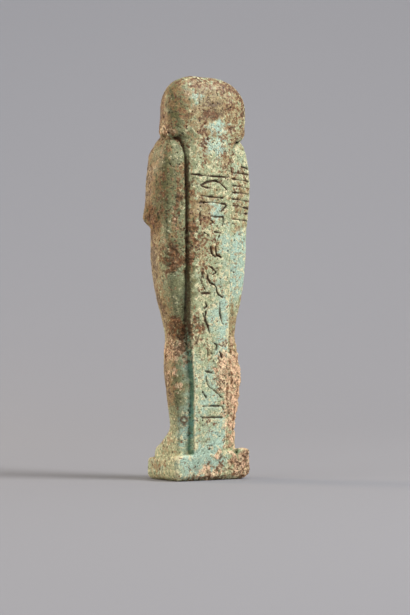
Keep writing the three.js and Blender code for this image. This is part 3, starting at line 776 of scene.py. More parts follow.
def sampled(grid, volume, metres):
    """Values of a volume on the grid at points given in metres."""
    steps = (np.stack(from_frame(metres), axis=1) - grid.low) / grid.step
    first = np.clip(steps.astype(int), 0, np.array(volume.shape) - 2)
    t = np.clip(steps - first, 0, 1)
    total = np.zeros(len(metres))
    for corner in itertools.product((0, 1), repeat=3):
        weight = np.prod(np.where(corner, t, 1 - t), axis=1)
        total += weight * volume[tuple((first + corner).T)]
    return total


def blurred(volume, reach):
    """The mean of a volume over a box of 2 * reach + 1 grid points each way."""
    for axis in range(3):
        wide = [(0, 0)] * 3
        wide[axis] = (reach + 1, reach)
        running = np.cumsum(np.pad(volume, wide, mode="edge"), axis=axis, dtype=np.float64)
        count = volume.shape[axis]
        upper = np.take(running, range(2 * reach + 1, 2 * reach + 1 + count), axis=axis)
        lower = np.take(running, range(0, count), axis=axis)
        volume = ((upper - lower) / (2 * reach + 1)).astype(np.float32)
    return volume


def hollowness(grid, metres, reach_mm):
    """How hollow the skin is around each point: 0 on a flat, up to 1 in a corner, below 0 on an edge."""
    solid = np.clip(0.5 - grid.values / grid.step, 0, 1)
    mean = blurred(solid, max(1, round(reach_mm / grid.step)))
    return (sampled(grid, mean, metres) - 0.5) * 2


def wobbled(metres):
    """Points as x, depth and z, shifted by slow waves so that no lump keeps a plain outline."""
    x, depth, z = from_frame(metres)
    across = 0.6 * np.sin(1.9 * z + 0.8 * x) + 0.35 * np.sin(3.7 * z - 1.3 * depth)
    along = 0.7 * np.sin(1.6 * x + 0.5 * z) + 0.45 * np.sin(3.9 * x + 1.1 * depth)
    return x + across, depth, z + along


def patch_weight(metres, patches):
    """The strongest of several soft lumps at each point."""
    x, depth, z = wobbled(metres)
    weight = np.zeros(len(metres))
    for cx, cd, cz, rx, rd, rz, strength in patches:
        far = np.sqrt(((x - cx) / rx) ** 2 + ((depth - cd) / rd) ** 2 + ((z - cz) / rz) ** 2)
        weight = np.maximum(weight, strength * np.clip(PATCH_FADE[0] - far * PATCH_FADE[1], 0, 1))
    return weight


def wall_weight(metres, side):
    """One on the pillar's side wall and in the furrow beside it, none elsewhere."""
    x, depth, z = from_frame(metres)
    heights, halves = zip(*PILLAR_HALF)
    out = (x - PILLAR["offset"]) * side - np.interp(z, heights, halves)
    soft_edges = (
        (out + 0.25) / 0.2, (0.5 - out) / 0.3, (depth - 0.15) / 0.3, (z - 6.5) / 0.5, (83.5 - z) / 3.0,
    )
    return math.prod(np.clip(edge, 0, 1) for edge in soft_edges)


def ring_weight(metres):
    """One along small rings on the skin."""
    x, depth, z = from_frame(metres)
    weight = np.zeros(len(metres))
    for cx, cd, cz, radius, half in RINGS:
        far = np.sqrt((x - cx) ** 2 + (depth - cd) ** 2 + (z - cz) ** 2)
        weight = np.maximum(weight, np.clip(1.6 - np.abs(far - radius) / half, 0, 1))
    return weight


def linked(name, data):
    item = bpy.data.objects.new(name, data)
    bpy.context.scene.collection.objects.link(item)
    return item


def store(mesh, name, values):
    old = mesh.attributes.get(name)
    if old:
        mesh.attributes.remove(old)
    layer = mesh.attributes.new(name, "FLOAT", "POINT")
    layer.data.foreach_set("value", np.asarray(values, np.float32))


def mesh_points(mesh):
    flat = np.empty(len(mesh.vertices) * 3, np.float32)
    mesh.vertices.foreach_get("co", flat)
    return flat.reshape(-1, 3).astype(float)


def mesh_from(name, points, quads):
    mesh = bpy.data.meshes.new(name)
    mesh.vertices.add(len(points))
    mesh.vertices.foreach_set("co", points.astype(np.float32).ravel())
    mesh.loops.add(quads.size)
    mesh.loops.foreach_set("vertex_index", quads.astype(np.int32).ravel())
    mesh.polygons.add(len(quads))
    mesh.polygons.foreach_set("loop_start", np.arange(0, quads.size, quads.shape[1], dtype=np.int32))
    mesh.update(calc_edges=True)
    mesh.validate()
    return mesh


# ---- the paths that are cut ----

def curve_through(points, per_span=6):
    """A smooth path through points, as many more points."""
    table = np.array(points, dtype=float)
    if len(table) < 3:
        return np.linspace(table[0], table[-1], per_span * 2)
    padded = np.vstack([2 * table[0] - table[1], table, 2 * table[-1] - table[-2]])
    path = []
    for a, b, c, d in zip(padded, padded[1:], padded[2:], padded[3:]):
        square, cube = 2 * a - 5 * b + 4 * c - d, 3 * b - a - 3 * c + d
        for t in np.linspace(0, 1, per_span, endpoint=False):
            path.append(0.5 * (2 * b + (c - a) * t + square * t**2 + cube * t**3))
    return np.array(path + [table[-1]])


def skin_depth(grid, x, z, from_front=False):
    """The depth of the first skin met at x and z, from behind or from the front."""
    column = sampled_column(grid, x, z)
    depths = grid.axes[1]
    if from_front:
        column, depths = column[::-1], depths[::-1]
    hit = int(np.argmax(column < 0))
    if hit == 0:
        return None
    share = column[hit - 1] / (column[hit - 1] - column[hit])
    return float(depths[hit - 1] + share * (depths[hit] - depths[hit - 1]))


def sampled_column(grid, x, z):
    i = int(np.clip(round((x - grid.low[0]) / grid.step), 0, grid.values.shape[0] - 1))
    k = int(np.clip(round((z - grid.low[2]) / grid.step), 0, grid.values.shape[2] - 1))
    return grid.values[i, :, k]


def on_skin(grid, path, from_front=False):
    """A path given as x and z, laid on the skin; it ends where there is no skin."""
    laid = []
    for x, z in path:
        depth = skin_depth(grid, x, z, from_front)
        if depth is None:
            break
        laid.append((x, depth, z))
    return laid


def column_paths(grid):
    """The strokes on the pillar."""
    paths = []
    heights, halves = zip(*COLUMN_HALF)
    for name, middle, tall in COLUMN:
        half = float(np.interp(middle, heights, halves))
        for points in MARKS[name]:
            mark = curve_through(np.array(points) / 100)
            x = COLUMN_CENTRE + (0.5 - mark[:, 0]) * 2 * half
            paths.append(on_skin(grid, np.stack([x, middle + (mark[:, 1] - 0.5) * tall], axis=1)))
    return paths


def bag_paths(grid):
    """The hatching of the seed bag behind the right shoulder."""
    paths = []
    for i in range(BAG["lines"]):
        share = i / (BAG["lines"] - 1)
        z = BAG["bottom"] + share * (BAG["top"] - BAG["bottom"])
        inner = BAG["inner"] if i < BAG["lines"] - 1 else (BAG["inner"] + BAG["outer"]) / 2
        sag = 0.25 * math.sin(i * 2.1)
        middle = ((inner + BAG["outer"]) / 2, z + 0.2 * sag)
        ends = (inner, z + 0.15), (BAG["outer"], z - 0.25 + sag)
        paths.append(on_skin(grid, curve_through((ends[0], middle, ends[1]))))
    return paths


def fine_paths(grid):
    """The plaits of the beard and the parting of the fingers."""
    paths = []
    half, rise = PLAITS["half"], PLAITS["rise"]
    for i in range(PLAITS["count"]):
        z = PLAITS["bottom"] + i * PLAITS["apart"]
        paths.append(((-half, z + rise), (0, z), (half, z + rise)))
    for side, i in itertools.product((-1, 1), range(FINGERS["count"])):
        z = FINGERS["bottom"] + i * FINGERS["apart"]
        for x, up, far_x, far_up in FINGERS["lines"]:
            paths.append(((side * x, z + up), (side * far_x, z + far_up)))
    return [on_skin(grid, curve_through(path), True) for path in paths]


def lines_object(name, paths):
    """Paths as a mesh of edges alone."""
    points, edges = [], []
    for path in paths:
        first = len(points)
        points += [(x * MM, (BACK - depth) * MM, z * MM) for x, depth, z in path]
        edges += [(i, i + 1) for i in range(first, len(points) - 1)]
    mesh = bpy.data.meshes.new(name)
    mesh.from_pydata(points, edges, [])
    return linked(name, mesh)


# ---- node helpers ----

class Tree:
    """A node tree and short ways of adding to it. An input is a value, an output or a name in `named`."""

    def __init__(self, data):
        self.data = data
        self.named = {}

    def feed(self, socket, value):
        value = self.named.get(value, value) if isinstance(value, str) else value
        if isinstance(value, bpy.types.NodeSocket):
            self.data.links.new(value, socket)
        else:
            socket.default_value = value

    def add(self, kind, inputs=None, **settings):
        node = self.data.nodes.new(kind)
        for key, value in settings.items():
            setattr(node, key, value)
        for key, value in (inputs or {}).items():
            self.feed(node.inputs[key], value)
        return node

    def maths(self, operation, *values, clamp=False):
        inputs = dict(enumerate(values))
        return self.add("ShaderNodeMath", inputs, operation=operation, use_clamp=clamp).outputs[0]

    def times(self, first, *others):
        for other in others:
            first = self.maths("MULTIPLY", first, other)
        return first

    def most(self, first, *others):
        for other in others:
            first = self.maths("MAXIMUM", first, other)
        return first

    def sum(self, **weights):
        """The sum of named patterns and attributes, each times its weight."""
        (first, weight), *others = weights.items()
        total = self.times(first, weight)
        for name, weight in others:
            total = self.maths("MULTIPLY_ADD", name, weight, total)
        return total

    def vector(self, operation, *values, scale=None):
        node = self.add("ShaderNodeVectorMath", dict(enumerate(values)), operation=operation)
        if scale is not None:
            self.feed(node.inputs["Scale"], scale)
        return node.outputs["Value" if operation == "DISTANCE" else "Vector"]

    def ramp(self, value, low, high, to_low=0.0, to_high=1.0, smooth=True):
        inputs = {"Value": value, "From Min": low, "From Max": high, "To Min": to_low, "To Max": to_high}
        kind = "SMOOTHSTEP" if smooth else "LINEAR"
        return self.add("ShaderNodeMapRange", inputs, interpolation_type=kind).outputs[0]

    def noise(self, where, scale, detail=2.0, rough=0.5, seed=0.0):
        moved = self.vector("ADD", where, (seed, seed * 1.7, -seed)) if seed else where
        inputs = {"Vector": moved, "Scale": scale, "Detail": detail, "Roughness": rough}
        return self.add("ShaderNodeTexNoise", inputs).outputs[0]

    def blend(self, factor, a, b, mode="MIX"):
        """Two colours mixed; each is a colour value or another node's output."""
        node = self.add("ShaderNodeMix", {0: factor}, data_type="RGBA", blend_type=mode, clamp_factor=True)
        for socket, value in ((node.inputs[6], a), (node.inputs[7], b)):
            self.feed(socket, value if isinstance(value, bpy.types.NodeSocket) else (*value, 1.0))
        return node.outputs[2]

    def tinted(self, hue, tint):
        return self.blend(1.0, hue, tint, "MULTIPLY")


# ---- cutting and crusting ----

POINT_VALUE = {"data_type": "FLOAT", "domain": "POINT"}


def carving_tree(name, sockets):
    """A geometry group with named inputs, the last of them its material; and its input sockets."""
    data = bpy.data.node_groups.new(name, "GeometryNodeTree")
    new = data.interface.new_socket
    new("Geometry", in_out="INPUT", socket_type="NodeSocketGeometry")
    for label, kind, default in (*sockets, ("Material", "Material", None)):
        socket = new(label, in_out="INPUT", socket_type="NodeSocket" + kind)
        if default is not None:
            socket.default_value = default
    new("Geometry", in_out="OUTPUT", socket_type="NodeSocketGeometry")
    return Tree(data), data.nodes.new("NodeGroupInput").outputs


def sink(tree, given, geometry, amount):
    """Moves the skin inward along its normals, and ends the group."""
    normal = tree.add("GeometryNodeInputNormal").outputs[0]
    offset = tree.vector("SCALE", normal, scale=tree.times(amount, -1.0))
    moved = tree.add("GeometryNodeSetPosition", {"Geometry": geometry, "Offset": offset}).outputs[0]
    real = tree.add("GeometryNodeRealizeInstances", {"Geometry": moved}).outputs[0]
    coated = tree.add("GeometryNodeSetMaterial", {"Geometry": real, "Material": given["Material"]})
    tree.add("NodeGroupOutput", {0: coated.outputs[0]})
    return tree.data


def held(tree, name):
    node = tree.add("GeometryNodeInputNamedAttribute", {"Name": name}, data_type="FLOAT")
    return node.outputs["Attribute"]


def stored(tree, geometry, name, value):
    inputs = {"Geometry": geometry, "Name": name, "Value": value}
    return tree.add("GeometryNodeStoreNamedAttribute", inputs, **POINT_VALUE).outputs[0]


def keep_most(tree, geometry, name, value):
    """Stores a value under a name where it is above what is already there."""
    return stored(tree, geometry, name, tree.most(held(tree, name), value))


def cut_lines_tree():
    """Cuts rounded strokes into the skin along the edges of an object of lines."""
    tree, given = carving_tree("Cut lines", (
        ("Lines", "Object", None),
        ("Half Width", "Float", 0.3 * MM),
        ("Depth", "Float", 0.4 * MM),
        ("Raggedness", "Float", 0.15 * MM),
    ))
    lines = tree.add("GeometryNodeObjectInfo", {"Object": given["Lines"]}, transform_space="ORIGINAL")
    position = tree.add("GeometryNodeInputPosition").outputs[0]
    stray = tree.add("ShaderNodeTexNoise", {"Vector": position, "Scale": CUT_NOISE["stray"], "Detail": 2.0})
    centred = tree.vector("SUBTRACT", stray.outputs["Color"], (0.5, 0.5, 0.5))
    strayed = tree.vector("SCALE", centred, scale=tree.times(given["Raggedness"], 2.0))
    moved = tree.vector("ADD", position, strayed)
    near = tree.add("GeometryNodeProximity", {0: lines.outputs["Geometry"], "Sample Position": moved},
                    target_element="EDGES").outputs["Distance"]
    uneven = tree.noise(position, CUT_NOISE["uneven"])
    breadth = tree.times(given["Half Width"], tree.ramp(uneven, 0.36, 0.64, 0.7, 1.45))
    factor = tree.ramp(near, breadth, tree.times(given["Half Width"], 0.25))
    pressed = tree.ramp(uneven, 0.36, 0.6, 0.55, 1.15)
    geometry = keep_most(tree, given["Geometry"], "cut", tree.times(factor, pressed))
    return sink(tree, given, geometry, tree.times(given["Depth"], pressed, factor))


def pit_tree():
    """Sinks small round pits of random size into the skin."""
    tree, given = carving_tree("Pit skin", (
        ("Density", "Float", 4.0e5),
        ("Radius", "Float", 0.3 * MM),
        ("Depth", "Float", 0.25 * MM),
        ("Seed", "Int", PIT_SEED),
    ))
    position = tree.add("GeometryNodeInputPosition").outputs[0]
    crowd = tree.noise(position, CUT_NOISE["crowd"])
    density = tree.times(given["Density"], tree.ramp(crowd, 0.35, 0.65, 0.35, 1.8))
    spread = tree.add("GeometryNodeDistributePointsOnFaces",
                      {"Mesh": given["Geometry"], "Density": density, "Seed": given["Seed"]},
                      distribute_method="RANDOM").outputs["Points"]
    chance = tree.add("FunctionNodeRandomValue", {"Seed": given["Seed"]}, data_type="FLOAT").outputs[1]
    share = tree.ramp(tree.maths("POWER", chance, 2.5), 0.0, 1.0, 0.35, 1.0, smooth=False)
    points = stored(tree, spread, "share", share)
    nearest = tree.add("GeometryNodeSampleNearest", {"Geometry": points, "Sample Position": position},
                       domain="POINT").outputs[0]

    def at_nearest(value, kind):
        inputs = {"Geometry": points, "Value": value, "Index": nearest}
        return tree.add("GeometryNodeSampleIndex", inputs, data_type=kind, domain="POINT").outputs[0]

    own = at_nearest(held(tree, "share"), "FLOAT")
    radius = tree.times(given["Radius"], own)
    far = tree.vector("DISTANCE", position, at_nearest(position, "FLOAT_VECTOR"))
    factor = tree.ramp(far, radius, tree.times(radius, 0.3))
    geometry = keep_most(tree, given["Geometry"], "pit", factor)
    return sink(tree, given, geometry, tree.times(given["Depth"], own, factor))


def crust_tree():
    """Raises rough grains where the skin is marked as crusted."""
    tree, given = carving_tree("Crust skin", (("Height", "Float", 0.3 * MM),))
    position = tree.add("GeometryNodeInputPosition").outputs[0]
    lumps = tree.noise(position, CUT_NOISE["lumps"], 4.0, 0.65)
    broken = tree.noise(position, CUT_NOISE["broken"])
    edge = tree.maths("ADD", held(tree, "crust"), tree.times(tree.maths("SUBTRACT", broken, 0.5), 1.1))
    grain = tree.times(tree.ramp(edge, 0.38, 0.72), tree.ramp(lumps, 0.36, 0.66, -0.7, 1.0))
    everywhere = tree.times(tree.ramp(lumps, 0.3, 0.7, -1.0, 1.0), 0.22)
    rise = tree.maths("ADD", grain, everywhere)
    return sink(tree, given, given["Geometry"], tree.times(rise, given["Height"], -1.0))


def give_nodes(target, tree, material, **values):
    """Adds a geometry group to an object, with each named input set by its socket's identifier."""
    modifier = target.modifiers.new(tree.name, "NODES")
    modifier.node_group = tree
    values["material"] = material
    for item in tree.interface.items_tree:
        key = item.name.lower().replace(" ", "_")
        if item.in_out == "INPUT" and key in values:
            modifier[item.identifier] = values[key]


def evaluated_copy(source, name):
    """The object's mesh with its modifiers applied, as a plain object; the source is removed."""
    bpy.context.view_layer.update()
    seen = source.evaluated_get(bpy.context.evaluated_depsgraph_get())
    mesh = bpy.data.meshes.new_from_object(seen)
    mesh.name = name
    discard(source)
    return linked(name, mesh)


def discard(item):
    mesh = item.data
    bpy.data.objects.remove(item)
    if mesh.users == 0:
        bpy.data.meshes.remove(mesh)


# ---- faience ----

def spots(tree, where, scale, small, large, share, seed):
    """Round spots of uneven size, in a share of the cells of a scattered pattern."""
    moved = tree.vector("ADD", where, (seed, -seed, seed * 0.7))
    inputs = {"Vector": moved, "Scale": scale, "Randomness": 1.0}
    cells = tree.add("ShaderNodeTexVoronoi", inputs, feature="F1")
    lot = tree.add("ShaderNodeSeparateColor", {0: cells.outputs["Color"]}).outputs
    reach = tree.ramp(lot[0], 0.0, 1.0, small, large, smooth=False)
    dot = tree.ramp(cells.outputs["Distance"], reach, tree.times(reach, 0.45))
    return tree.times(dot, tree.maths("LESS_THAN", lot[1], share))


def faience(colours):
    """Worn blue-green glaze, peppered with pits, mottled with cream and brown, and crusted in places."""
    material = bpy.data.materials.new("faience")
    material.use_nodes = True
    material.node_tree.nodes.clear()
    tree = Tree(material.node_tree)
    where = tree.add("ShaderNodeTexCoord").outputs["Object"]
    upright = tree.vector("MULTIPLY", where, (1.0, 1.0, 0.28))  # draws a pattern out into upright streaks
    for name, pattern in PATTERNS.items():
        tree.named[name] = tree.noise(upright if name == "streak" else where, *pattern)
    for name in (*PATCHES, "wall", "ring", "cut", "pit", "hollow", "edge"):
        node = tree.add("ShaderNodeAttribute", attribute_type="GEOMETRY", attribute_name=name)
        tree.named[name] = node.outputs["Fac"]
    # Where the glaze is clean it is less speckled.
    tree.named["calm"] = tree.maths("MULTIPLY_ADD", "clean", -0.5, 1.0, clamp=True)
    hue = stained(tree, colours, glazed(tree, colours))
    hue = walled(tree, colours, crusted(tree, colours, hue), where)
    hue, dark = peppered(tree, colours, hue, where)
    shader = tree.add("ShaderNodeBsdfPrincipled", {
        "Base Color": hue,
        "Roughness": roughness(tree, dark),
        "Specular IOR Level": 0.4,
        "Normal": relief(tree, where, dark),
    })
    tree.add("ShaderNodeOutputMaterial", {"Surface": shader.outputs[0]}).is_active_output = True
    return material


def glazed(tree, colours):
    """The glaze: dull green, blue-green where clean, browned with painted shade on one side, cream where
    thin, and cream on edges as wear and painted highlight.
    """
    tone = tree.sum(clean=0.7, shade=-0.8, cloud=1.4, patch=1.2)
    hue = tree.blend(tree.ramp(tone, 1.25, 2.0), colours.glaze, colours.aqua)
    dusky = tree.times(tree.ramp("dusk", 0.48, 0.38, 0.0, 0.75), "calm")
    hue = tree.blend(dusky, hue, tree.tinted(hue, TINTS["dusk"]))
    # The shade patches darken the figure's left side: brown stain with painted shade.
    hue = tree.tinted(hue, tree.blend("shade", (1.0, 1.0, 1.0), TINTS["shade"]))
    thin = tree.sum(grain=0.35, mottle=0.65, edge=0.1, clean=-0.015, shade=-0.1)
    hue = tree.blend(tree.ramp(thin, 0.5, 0.58, 0.0, 0.85), hue, colours.pale)
    # Convex edges turn cream, as wear and painted highlight.
    worn = tree.sum(edge=1.0, mottle=0.5, shade=-0.2, ochre=-0.15)
    return tree.blend(tree.ramp(worn, 0.5, 0.72, 0.0, 0.8), hue, colours.pale)


def stained(tree, colours, hue):
    """Golden and brown stains that lie in the glaze and gather in the hollows, and painted shade that darkens
    the hollows. Along the left outline the golden is partly painted warm rim light.
    """
    golden = tree.sum(stain=0.7, fleck=0.3, ochre=0.2, rust=0.08, shade=0.03, clean=-0.08)
    hue = tree.blend(tree.ramp(golden, 0.52, 0.6, 0.0, 0.7), hue, colours.ochre)
    hue = tree.blend(tree.ramp(golden, 0.63, 0.71, 0.0, 0.8), hue, colours.brown)
    # The hollows are darkened as painted shade.
    hue = tree.blend(tree.ramp("hollow", 0.1, 0.6), hue, tree.tinted(hue, TINTS["recess_shade"]))
    soil = tree.sum(hollow=1.0, clean=-0.45, mottle=0.25)
    return tree.blend(tree.ramp(soil, 0.28, 0.7, 0.0, 0.92), hue, colours.brown)


def crusted(tree, colours, hue):
    """Red-brown flecks in clusters, dark brown crust and sandy crust, each with a ragged edge."""
    flecks = tree.sum(fleck=0.6, patch=0.35, grain=0.15, rust=0.1, clean=-0.02)
    hue = tree.blend(tree.ramp(flecks, 0.61, 0.66, 0.0, 0.85), hue, colours.rust)
    hue = tree.blend(tree.ramp(flecks, 0.655, 0.71, 0.0, 0.9), hue, colours.brown)
    ground = tree.blend(tree.ramp("mottle", 0.42, 0.62), colours.brown, colours.rust)
    ground = tree.blend(tree.ramp("grain", 0.5, 0.64, 0.0, 0.7), ground, colours.ochre)
    earthy = tree.sum(brown=0.5, stain=1.6, fleck=0.8)
    hue = tree.blend(tree.ramp(earthy, 1.38, 1.64, 0.0, 0.92), hue, ground)
    grains = tree.blend(tree.ramp("streak", 0.39, 0.5), colours.rust, colours.sand)
    grains = tree.blend(tree.ramp("mottle", 0.5, 0.6, 0.0, 0.6), grains, colours.pale)
    grains = tree.blend(tree.ramp("patch", 0.46, 0.68, 0.0, 0.3), grains, colours.ochre)
    grains = tree.blend(tree.ramp(flecks, 0.62, 0.68, 0.0, 0.8), grains, colours.brown)
    sandy = tree.sum(sand=0.58, stain=1.6, mottle=0.8)
    return tree.blend(tree.ramp(sandy, 1.4, 1.66, 0.0, 0.9), hue, grains)


def walled(tree, colours, hue, where):
    """The pillar's side walls darkened as painted shade, brown with soil above and dark green below, and the
    rusty rings.
    """
    height = tree.add("ShaderNodeSeparateXYZ", {0: where}).outputs[2]
    lower = tree.ramp(height, WALL_TURN[0] * MM, WALL_TURN[1] * MM)
    soil = tree.blend(tree.ramp("mottle", 0.4, 0.6, 0.3, 0.95), hue, colours.brown)
    wall = tree.blend(lower, tree.tinted(soil, TINTS["soil"]), tree.tinted(hue, TINTS["deep"]))
    hue = tree.blend(tree.times("wall", 0.92), hue, wall)
    return tree.blend(tree.times("ring", 0.95), hue, tree.blend(0.75, colours.rust, colours.brown))


def peppered(tree, colours, hue, where):
    """Dark soil in the pits and cuts; also how dark each point ends."""
    grit = tree.ramp(tree.noise(where, *FINE_PATTERNS["grit"]), 0.34, 0.66, 0.72, 1.24)
    hue = tree.tinted(hue, tree.add("ShaderNodeCombineXYZ", {0: grit, 1: grit, 2: grit}).outputs[0])
    dots = [tree.times(spots(tree, where, *dot), strength) for *dot, strength in SPOTS]
    specks = tree.ramp(tree.noise(where, *FINE_PATTERNS["specks"]), 0.6, 0.66, 0.0, 0.75)
    holes = tree.times(tree.most(*dots, specks), "calm")
    pits = tree.ramp("pit", 0.25, 0.85, 0.0, 0.85)
    cuts = tree.times(tree.ramp("cut", 0.4, 1.0, 0.0, 0.56), tree.ramp("patch", 0.38, 0.6, 0.2, 1.0))
    earth = tree.blend(tree.ramp("cut", 0.05, 0.5, 0.0, 0.6), hue, colours.brown)
    dark = tree.maths("MAXIMUM", tree.most(holes, pits), cuts, clamp=True)
    return tree.blend(dark, earth, colours.pit), dark


def roughness(tree, dark):
    """Satin on the glaze, dull on the crust and in the pits."""
    dull = tree.most("sand", "brown", dark)
    return tree.maths("MULTIPLY_ADD", dull, 0.3, tree.ramp("patch", 0.3, 0.7, 0.4, 0.62), clamp=True)


def relief(tree, where, dark):
    """Fine grain and the smallest pits, too small to be cut into the mesh."""
    fine = tree.noise(where, *FINE_PATTERNS["relief"])
    height = tree.maths("MULTIPLY_ADD", fine, 0.25, tree.sum(grain=0.5, mottle=0.5))
    height = tree.maths("MULTIPLY_ADD", dark, -0.55, height)
    inputs = {"Height": height, "Strength": 0.8, "Distance": 0.15 * MM}
    return tree.add("ShaderNodeBump", inputs).outputs[0]


# ---- the studio ----

VIEW_ANGLE = math.radians(144.0)  # from the figure's front, towards its left
CAMERA = {"distance": 0.536, "aside": 0.0033, "height": 0.0326, "lens": 120.0, "film": 36.0, "rise": 0.0756}
BOWL = {"flat": 0.35, "bend": 1.9, "top": 1.2, "steps": 40, "sides": 96}
LIGHTS = (  # name, degrees to the camera's right, degrees up, distance, size, watts, colour
    ("key", 66.0, 40.0, 0.9, 0.45, 8.2, (1.0, 1.0, 1.0)),
    ("top", 10.0, 78.0, 1.1, 0.9, 2.3, (1.0, 1.0, 1.0)),
    ("fill", -58.0, 20.0, 1.0, 0.8, 2.1, (1.0, 1.0, 0.97)),
    ("rim", -112.0, 14.0, 0.8, 0.4, 3.9, (1.0, 0.8, 0.56)),
)
SKY = {"colour": (0.98, 0.98, 1.0, 1.0), "strength": 0.46}
FLOOR = {"scale": 3.0, "lighter": 1.02, "roughness": 0.8, "shine": 0.2}
BACKDROP_LIGHT = {"behind": 0.55, "rise": 1.3, "reach": 1.7, "aim": 0.85, "size": 1.2, "watts": 13.5}


def towards_camera(turn=0.0):
    """A level direction, turned from the camera's side towards the right of its view."""
    angle = VIEW_ANGLE + turn
    return Vector((math.sin(angle), -math.cos(angle), 0.0))


def studio_bowl(colours):
    """A round floor that curves up into a backdrop on every side."""
    flat, bend, top, steps, sides = (BOWL[key] for key in ("flat", "bend", "top", "steps", "sides"))
    outline = [(flat * i / 4, 0.0) for i in range(1, 5)]
    for i in range(1, steps + 1):
        turn = math.acos(1 - top / bend) * i / steps
        outline.append((flat + bend * math.sin(turn), bend * (1 - math.cos(turn))))
    points, faces = [(0.0, 0.0, 0.0)], []
    for reach, rise in outline:
        for j in range(sides):
            turn = 2 * math.pi * j / sides
            points.append((reach * math.cos(turn), reach * math.sin(turn), rise))
    for j in range(sides):
        faces.append((0, 1 + j, 1 + (j + 1) % sides))
    for i, j in itertools.product(range(len(outline) - 1), range(sides)):
        a, b = 1 + i * sides + j, 1 + i * sides + (j + 1) % sides
        faces.append((a, a + sides, b + sides, b))
    mesh = bpy.data.meshes.new("floor")
    mesh.from_pydata(points, [], faces)
    mesh.shade_smooth()
    mesh.materials.append(floor_material(colours))
    return linked("floor", mesh)


def floor_material(colours):
    material = bpy.data.materials.new("floor")
    material.use_nodes = True
    tree = Tree(material.node_tree)
    shader = tree.data.nodes["Principled BSDF"].inputs
    where = tree.add("ShaderNodeTexCoord").outputs["Object"]
    lighter = tuple(value * FLOOR["lighter"] for value in colours.floor)
    cloud = tree.noise(where, FLOOR["scale"], 2.0, 0.6)
    tree.feed(shader["Base Color"], tree.blend(cloud, colours.floor, lighter))
    tree.feed(shader["Roughness"], FLOOR["roughness"])
    tree.feed(shader["Specular IOR Level"], FLOOR["shine"])
    return material


def soft_light(name, at, aim, width, watts, tint=(1.0, 1.0, 1.0)):
    data = bpy.data.lights.new(name, "AREA")
    data.shape = "DISK"
    data.size = width
    data.energy = watts
    data.color = tint
    light = linked(name, data)
    light.location = at
    light.rotation_euler = (aim - at).to_track_quat("-Z", "Y").to_euler()


def lights():
    """Soft lights around the figure, and one that lifts the backdrop."""
    middle = Vector((0, 0, 0.05))
    for name, aside, rise, distance, width, watts, tint in LIGHTS:
        lifted = math.radians(rise)
        level = towards_camera(math.radians(aside)) * math.cos(lifted)
        at = middle + (level + Vector((0, 0, math.sin(lifted)))) * distance
        soft_light(name, at, middle, width, watts, tint)
    back = BACKDROP_LIGHT
    at = towards_camera() * -back["behind"] + Vector((0, 0, back["rise"]))
    aim = towards_camera() * -back["reach"] + Vector((0, 0, back["aim"]))
    soft_light("backdrop", at, aim, back["size"], back["watts"])


def camera():
    out = towards_camera()
    right = Vector((-out.y, out.x, 0.0))
    data = bpy.data.cameras.new("camera")
    data.lens = CAMERA["lens"]
    data.sensor_width = CAMERA["film"]
    data.shift_y = CAMERA["rise"]
    data.clip_start = 0.01
    data.clip_end = 20.0
    data.dof.use_dof = False
    item = linked("camera", data)
    item.location = out * CAMERA["distance"] + right * CAMERA["aside"] + Vector((0, 0, CAMERA["height"]))
    item.rotation_euler = (-out).to_track_quat("-Z", "Y").to_euler()
    bpy.context.scene.camera = item


def surroundings():
    """Even grey light from all around."""
    world = bpy.data.worlds.new("studio")
    bpy.context.scene.world = world
    world.use_nodes = True
    background = world.node_tree.nodes["Background"]
    background.inputs["Color"].default_value = SKY["colour"]
    background.inputs["Strength"].default_value = SKY["strength"]


# ---- operators and panel ----

class USHABTI_OT_figure(bpy.types.Operator):
    """Builds the ushabti over its solid"""

    bl_idname = "ushabti.figure"
    bl_label = "Ushabti"

    def execute(self, context):
        sizes, colours = context.scene.ushabti_sizes, context.scene.ushabti_colours
        step = sizes.step / MM * 1.0
        grid = figure_field(step, sizes.waves / MM)
        points, quads = skin(grid.values)
        if len(points) < 1000:
            raise RuntimeError("the figure's field has no skin")
        mesh = mesh_from("ushabti", place(grid, points), quads)
        crusted_skin = [patch_weight(mesh_points(mesh), PATCHES[name]) for name in ("brown", "sand")]
        store(mesh, "crust", np.maximum(*crusted_skin))
        rough = linked("rough", mesh)
        material = faience(colours)
        helpers = carve(rough, grid, sizes, material)
        figure = evaluated_copy(rough, "ushabti")
        for lines in helpers:
            discard(lines)
        finish_figure(figure, grid, material)
        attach(figure, "root")
        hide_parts(NODE)
        return {"FINISHED"}


def carve(rough, grid, sizes, material):
    """Cuts the lines, sinks the pits, raises the crust and thins the mesh."""
    cut, pits, crust = cut_lines_tree(), pit_tree(), crust_tree()
    line = [on_skin(grid, curve_through(HEAD_LINE))]
    half, depth, ragged = sizes.stroke_half, sizes.stroke_depth, sizes.ragged
    sets = (
        ("column", column_paths(grid), half, depth, ragged),
        ("head line", line, 0.95 * half, depth, 0.5 * ragged),
        ("bag", bag_paths(grid), sizes.bag_half, sizes.bag_depth, ragged),
        ("fine", fine_paths(grid), sizes.braid_half, sizes.braid_depth, ragged),
    )
    helpers = [lines_object(name, paths) for name, paths, *_ in sets]
    for lines, (_, _, half, depth, ragged) in zip(helpers, sets):
        give_nodes(rough, cut, material, lines=lines, half_width=half, depth=depth, raggedness=ragged)
    pit = {"radius": sizes.pit_radius, "depth": sizes.pit_depth, "density": sizes.pits / MM**2}
    give_nodes(rough, pits, material, seed=PIT_SEED, **pit)
    give_nodes(rough, crust, material, height=sizes.crust_height)
    thin = rough.modifiers.new("thin", "DECIMATE")
    thin.ratio = min(1.0, sizes.triangles / (2.0 * len(rough.data.polygons)))
    thin.use_collapse_triangulate = True
    return helpers


